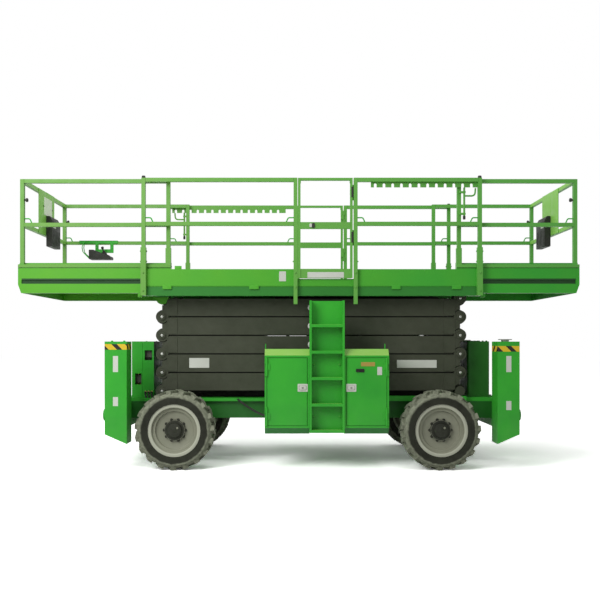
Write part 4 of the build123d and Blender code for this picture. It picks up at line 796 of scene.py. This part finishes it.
def weld(x, y, z, down=TUBE, up=TUBE):
    """An upright weld bead past a height: a round bead that swells and falls with each ripple."""
    ripples = int((down + up) / BEAD_PITCH)
    t = np.linspace(0, 1, 3 * ripples + 1)
    radius = BEAD_R * (1 + BEAD_SWELL * np.cos(2 * np.pi * ripples * t))
    return tube(np.add((x, y, z - down), np.outer(t, (0, 0, down + up))), radius, 6)


rails_low, rails_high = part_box("main_rails")
gate_low, gate_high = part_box("gate_far")
rail_y = fascia + TUBE
post_x = (rails_low[0] + SOCKET, gate_low[0] - GATE_GAPS[0],
          gate_high[0] + GATE_GAPS[1], rails_high[0] - SOCKET)
loops, fixings, rings, beads = [], [], [], []
for s in (-1, 1):
    y, face = s * rail_y, s * (rail_y + TUBE)
    for x, way in zip(post_x, (1, -1, 1, -1)):
        loops.append(lanyard_loop(x + way * TUBE, way, y))
        edge = x + way * (TUBE + BEAD_OUT)
        beads += [weld(edge, bead_y, z) for z in (MID_Z, TOP_Z) for bead_y in (face, s * fascia)]
    for x in (post_x[0], post_x[3]):
        rings.append(turned((x, y, CAP_FROM - 0.0002), (0, 0, 1), CAP_RING))
        fixings += [bolt((x + way * SOCKET, s * (rail_y + 0.002), z), (way, 0, 0), 0.01)
                    for z in SOCKET_BOLT_Z for way in (-1, 1)]
        fixings += [bolt((x, s * rails_high[1], z), (0, s, 0), 0.01) for z in END_BOLT_Z]
    for x, way in zip(post_x[1:3], (-1, 1)):
        fixings += [bolt((x, face, z), (0, s, 0), 0.01) for z in GATE_BOLT_Z]
        fixings.append(bolt((x + way * TUBE, y, SOCKET_BOLT_Z[0]), (way, 0, 0), 0.009))
fit("lanyard_loops", loops, "platform", chassis_green)
fit("rail_bolts", fixings, "platform", rail_green)
fit("rail_welds", beads, "platform", rail_green)
fit("post_cap_rings", rings, "platform", plastic)

# Gates: welded tube frames with a thick flat mid bar, a spring latch in black and white plastic, black
# hinge covers on the hinge stile, a blank plate on the kick sheet and a sweep strip along its foot.
GATE_TUBE = 0.015
STILE_IN = 0.014
HINGE_Z, HINGE_HALF = (2.681, 3.208), 0.064
LATCH_X = 0.153
KICK_X, KICK_Z = (0.101, 0.526), (2.21, 2.276)
for side, s in SIDES:
    gate = f"gate_{side}"
    dress(rail_green, gate)
    face = s * (rail_y + GATE_TUBE)
    stile = gate_high[0] - STILE_IN
    cover_y = (s * (rail_y - 0.012), face + s * 0.002)
    covers = [block((stile - 0.016, stile + 0.01), cover_y, about(z, HINGE_HALF)) for z in HINGE_Z]
    grip = sheet((LATCH_X + 0.002, LATCH_X + 0.032), face, (MID_Z - 0.05, MID_Z + 0.008), 0.014, 0.01)
    fit(f"{gate}_hinge_covers", covers + [grip], gate, plastic)
    tip = sheet((LATCH_X - 0.03, LATCH_X), face, (MID_Z - 0.042, MID_Z + 0.002), 0.01, 0.012)
    plate = sheet(KICK_X, s * (rail_y + GATE_TUBE / 2), KICK_Z)
    fit(f"{gate}_plate", [tip, plate], gate, label_white)
    stops = [weld(x, s * (rail_y + way * GATE_TUBE), z, 0.035, 0.015)
             for x in (gate_low[0] + 0.031, stile - 0.031) for z in (MID_Z, TOP_Z) for way in (-1, 1)]
    sweep_x, sweep_z = (gate_low[0] + 0.004, stile - 0.02), (gate_low[2] - 0.003, gate_low[2] + 0.004)
    sweep = block(sweep_x, about(s * rail_y, 0.004), sweep_z, 0.001)
    fit(f"{gate}_welds", stops + [sweep], gate, rail_green)

# Roll-out decks: grooved side beams, darker in and round the groove with painted shade, with a folded lip and
# a dark strip under it as its painted shadow, a thin chequer floor and an end beam, with rails of square tube
# inside the main rails, collars round the end posts' feet, spring knobs, lanyard loops, and one lock rod each
# for the comb.
# The groove colour is painted shade, and the strip under each lip is a painted shadow.
GROOVE_PAINTED_SHADE, GROOVE_Z = (0.012, 0.06, 0.012), (2.144, 2.206)
GROOVE_DEEP, GROOVE_END = 0.04, 3.247
LIP_Y, LIP_Z = (0.8405, 0.852), (2.334, 2.372)
SHADOW_STRIP_Y, SHADOW_STRIP_Z = (0.8405, 0.8445), (2.315, 2.338)
POST_IN = 0.0275
KNOB_Z = 3.13
KNOB = ((-0.002, 0.01), (0.016, 0.01), (0.018, 0.022), (0.034, 0.024), (0.04, 0.02), (0.043, 0.01))
COLLAR_X, COLLAR_HALF, COLLAR_H = (-0.03, 0.022), 0.027, 0.05
ROD_R, ROD_FROM_POST, ROD_OUT, ROD_Z = 0.012, 0.055, 0.0375, (2.9, 3.268)
ROD_TIP = ((0, 0.01), (0.004, 0.0155), (0.04, 0.0155), (0.044, 0.012))
HANDLE_Z, HANDLE_END_Z, HANDLE_L, HANDLE_R = 3.172, 3.262, 0.125, 0.01
CLIP_Z, CLIP_HALF = (2.962, 3.215), 0.012
roll_out_floor, hue, at_x, at_y, at_z = floor_plate("roll_out_floor")
beam_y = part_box("rear_extension_deck")[1][1]
post_y = beam_y - POST_IN
outside = count("GREATER_THAN", count("ABSOLUTE", at_y), beam_y - GROOVE_DEEP)
inside_ends = count("LESS_THAN", count("ABSOLUTE", at_x), GROOVE_END)
# Painted shade: the beams are darker in and round the groove, short of the beam ends.
over(times(between(at_z, *GROOVE_Z), outside, inside_ends), hue, GROOVE_PAINTED_SHADE)
lip_shadow_paint = coat("lip_shadow_paint", GROOVE_PAINTED_SHADE, CHANNEL_PAINTED_SHADE)[0]
for end, e in ENDS:
    body = f"{end}_extension"
    dress(roll_out_floor, f"{body}_deck")
    dress(rail_green, f"{body}_rails")
    low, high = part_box(f"{body}_rails")
    end_post = (high if e > 0 else low)[0] - e * TUBE
    inner_post = (low if e > 0 else high)[0] + e * SOCKET
    end_face = end_post - e * TUBE
    deck_low, deck_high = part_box(f"{body}_deck")
    run = (deck_low[0] + 0.001, deck_high[0] - 0.001)
    lips = [block(run, on_side(s, *LIP_Y), LIP_Z) for s in (-1, 1)]
    # A dark strip under each lip: painted shadow.
    shadow_strips = [block(run, on_side(s, *SHADOW_STRIP_Y), SHADOW_STRIP_Z, 0.001) for s in (-1, 1)]
    fit(f"{end}_deck_lips", lips, body, rail_green)
    fit(f"{end}_lip_shadow_strips", shadow_strips, body, lip_shadow_paint)
    knobs, loops, beads = [], [], []
    for s in (-1, 1):
        y = s * post_y
        knobs.append(turned((end_face, y, KNOB_Z), (-e, 0, 0), KNOB, 20))
        loops.append(lanyard_loop(end_face, -e, y))
        loops.append(block(np.add(end_post, COLLAR_X), about(y, COLLAR_HALF), (low[2], low[2] + COLLAR_H)))
        for z in (MID_Z, TOP_Z):
            for x in (end_face - e * BEAD_OUT, inner_post + e * (TUBE + BEAD_OUT)):
                beads += [weld(x, bead_y, z) for bead_y in about(y, TUBE)]
            beads.append(weld(end_face, y - s * (TUBE + BEAD_OUT), z))
    rod_x, rod_y = inner_post + e * ROD_FROM_POST, -e * (post_y + ROD_OUT)
    handle = [(rod_x, rod_y, HANDLE_Z), (rod_x + e * HANDLE_L, rod_y, HANDLE_Z),
              (rod_x + e * HANDLE_L * 1.05, rod_y, HANDLE_END_Z)]
    rods = [tube([(rod_x, rod_y, z) for z in np.linspace(*ROD_Z, 3)], ROD_R, 14),
            tube(bend(handle, 0.055), HANDLE_R)]
    clip_x, clip_y = (inner_post - 0.004, rod_x + e * 0.016), (rod_y - 0.012, -e * (post_y + TUBE - 0.001))
    rods += [block(clip_x, clip_y, about(z, CLIP_HALF)) for z in CLIP_Z]
    tip = turned((rod_x, rod_y, ROD_Z[0] - 0.004), (0, 0, 1), ROD_TIP)
    fit(f"{end}_lock_rod", rods, body, rail_green)
    fit(f"{end}_post_knobs", knobs + [tip], body, plastic)
    fit(f"{end}_loops", loops, body, chassis_green)
    fit(f"{end}_rail_welds", beads, body, rail_green)

# Document boxes: moulded black plastic boxes with a sloping lid, screwed to the green plates between the
# end rails, with a blank label on the inner face. Each plate is carried on towards the near side, and a
# pale blank card is clipped above the front box.
LID_DROP, LID_SLOPE = 0.06, 0.034
CATCH_Y, RIBS = (0.085, 0.115), 5
LABEL_W, LABEL_H = 0.11, 0.055
CARD_Y, CARD_Z, CARD_CLIP_Z = (-0.145, 0.165), (3.075, 3.3), 3.18
CARD_WHITE, CARD_WORN = (0.95, 0.97, 0.86), (0.86, 0.92, 0.76)
WING_X, WING_Y = (0.0085, 0.0008), (-0.335, -0.06)
PAPER_EDGE = (0.0007, 0.004, 0)
card_white = coat("card_white", CARD_WHITE, CARD_WORN, rough=0.5)[0]


def carried(outline, low_y, high_y, rounding=0.01, edge=0.004):
    """A moulded case: a closed outline of (x, z) corners, rounded, carried along Y and drawn in towards
    its middle by the edge at both ends."""
    outline = np.asarray(outline, float)
    closing = (outline[:1] + outline[-1:]) / 2
    round_trip = bend(np.concatenate([closing, outline, closing]), rounding)[:-1]
    x, z = round_trip.T
    if np.sum(x * np.roll(z, -1) - z * np.roll(x, -1)) > 0:
        round_trip = round_trip[::-1]
    centre = round_trip.mean(0)
    drawn = 1 - edge / np.abs(round_trip - centre).max()
    rings = np.zeros((4, len(round_trip), 3))
    shares = np.array((drawn, 1, 1, drawn))[:, None, None]
    rings[..., ::2] = centre + shares * (round_trip - centre)
    rings[..., 1] = np.array((low_y, low_y + edge, high_y - edge, high_y))[:, None]
    return skin(rings)


for end, e in ENDS:
    body = f"{end}_extension"
    low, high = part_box(f"{end}_document_box")
    back, inner = (low[0], high[0]) if e < 0 else (high[0], low[0])
    lid = high[2] - LID_DROP
    lip = lid - 0.012
    side = [(back, low[2]), (inner, low[2]), (inner, lid), (inner + e * LID_SLOPE, high[2]), (back, high[2])]
    case = carried(side, low[1], high[1])
    seam_x, seam_y = (back - e * 0.004, inner - e * 0.003), (low[1] - 0.002, high[1] + 0.002)
    seam = block(seam_x, seam_y, (lip - 0.008, lip), 0.002)
    catch = block((inner + e * 0.001, inner - e * 0.009), CATCH_Y, (lip - 0.03, lip + 0.012))
    ribs = [block((inner + e * 0.002, inner - e * 0.003), about(y, 0.007), (low[2] + 0.03, lip - 0.1), 0.002)
            for y in np.linspace(low[1] + 0.05, high[1] - 0.05, RIBS)]
    box = fit(f"{end}_document_case", [case, seam, catch] + ribs, body, plastic)
    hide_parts(f"{end}_document_box")
    wing_x = (back + e * WING_X[0], back + e * WING_X[1])
    wing_z = (MID_Z - TUBE + 0.001, TOP_Z + TUBE - 0.001)
    fit(f"{end}_plate_wing", [block(wing_x, WING_Y, wing_z, 0.002)], body, rail_green)
    if end == "front":
        card = block((back + e * 0.0008, back - e * 0.0022), CARD_Y, CARD_Z, *PAPER_EDGE)
        fit("blank_card", [card], body, card_white)
        clip_y = (CARD_Y[0] - 0.012, CARD_Y[1] + 0.012)
        clips = [bolt((back, y, CARD_CLIP_Z), (-e, 0, 0), 0.007, 0.006) for y in clip_y]
        fit("card_clips", clips, body, plastic)
    paper_y, paper_z = (low[1] + 0.03, low[1] + 0.03 + LABEL_W), (lip - 0.02 - LABEL_H, lip - 0.02)
    paper = block((inner + e * 0.001, inner - e * 0.0015), paper_y, paper_z, *PAPER_EDGE)
    fit(f"{end}_document_label", [paper], body, label_white)

# Platform control: a moulded wedge-shaped case with a joystick in a rubber gaiter, hung by two green
# straps and a cross plate from an angle bar on the far mid rail, with a wire guard round its left end.
WEDGE_H, WEDGE_LOW, WEDGE_TOP = 0.13, 0.038, 0.06
BAR_X = (-3.035, -2.5)
STRAP_X, STRAP_FOOT, STRAP_BOLT_Z = ((-2.812, -2.765), (-2.605, -2.558)), 2.7, (2.765, 2.8)
CROSS_X, CROSS_Z = (-2.812, -2.558), (2.698, 2.75)
STICK_LEAN, BUTTON_LEAN = (-0.3, 0, 1), (0.36, 0, 1)
BUTTON, BUTTON_Y = ((0, 0.012), (0.01, 0.012), (0.012, 0.01)), (-0.045, 0, 0.045)
GAITER = ((-0.01, 0.036), (0.004, 0.036), (0.01, 0.028), (0.016, 0.031), (0.022, 0.024), (0.028, 0.027),
          (0.034, 0.019), (0.04, 0.021), (0.046, 0.011), (0.07, 0.009), (0.076, 0.014), (0.084, 0.0185),
          (0.098, 0.0195), (0.106, 0.015), (0.109, 0.006))
low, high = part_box("control_box")
left, right, foot = low[0], high[0], low[2]
hung_y = high[1] - TUBE
case_y = hung_y - 0.0105
mid_x, mid_y = (left + right) / 2, (low[1] + case_y) / 2
wedge = [(left, foot), (right, foot), (right, foot + WEDGE_LOW), (left + WEDGE_TOP, foot + WEDGE_H),
         (left, foot + WEDGE_H)]
control = [carried(wedge, low[1], case_y),
           turned((mid_x + 0.045, mid_y, foot + 0.076), STICK_LEAN, GAITER, 28)]
control += [turned((mid_x + 0.095, mid_y + y, foot + 0.054), BUTTON_LEAN, BUTTON, 20) for y in BUTTON_Y]
case = fit("control_case", control, "front_extension", plastic)
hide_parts("control_box")
rail_top, strap_y = MID_Z + TUBE, hung_y - 0.0095
bracket = [block(BAR_X, (hung_y - 0.009, high[1] + 0.012), (rail_top, rail_top + 0.009)),
           block(BAR_X, (hung_y - 0.009, hung_y - 0.0005), (rail_top - 0.034, rail_top + 0.009)),
           block(CROSS_X, (case_y, hung_y - 0.003), CROSS_Z)]
bracket += [block(x, (strap_y, hung_y - 0.002), (STRAP_FOOT, rail_top - 0.02)) for x in STRAP_X]
bracket += [bolt((sum(x) / 2, strap_y, z), (0, -1, 0), 0.007, 0.006) for x in STRAP_X for z in STRAP_BOLT_Z]
for y in (mid_y - 0.055, mid_y + 0.035):
    guard = [(left - 0.1, hung_y - 0.005, rail_top), (left - 0.098, y, rail_top - 0.1),
             (left - 0.085, y, foot + 0.1), (left + 0.002, y, foot + 0.012)]
    bracket.append(tube(bend(guard, 0.02), 0.006, 8))
fit("control_bracket", bracket, "front_extension", chassis_green)
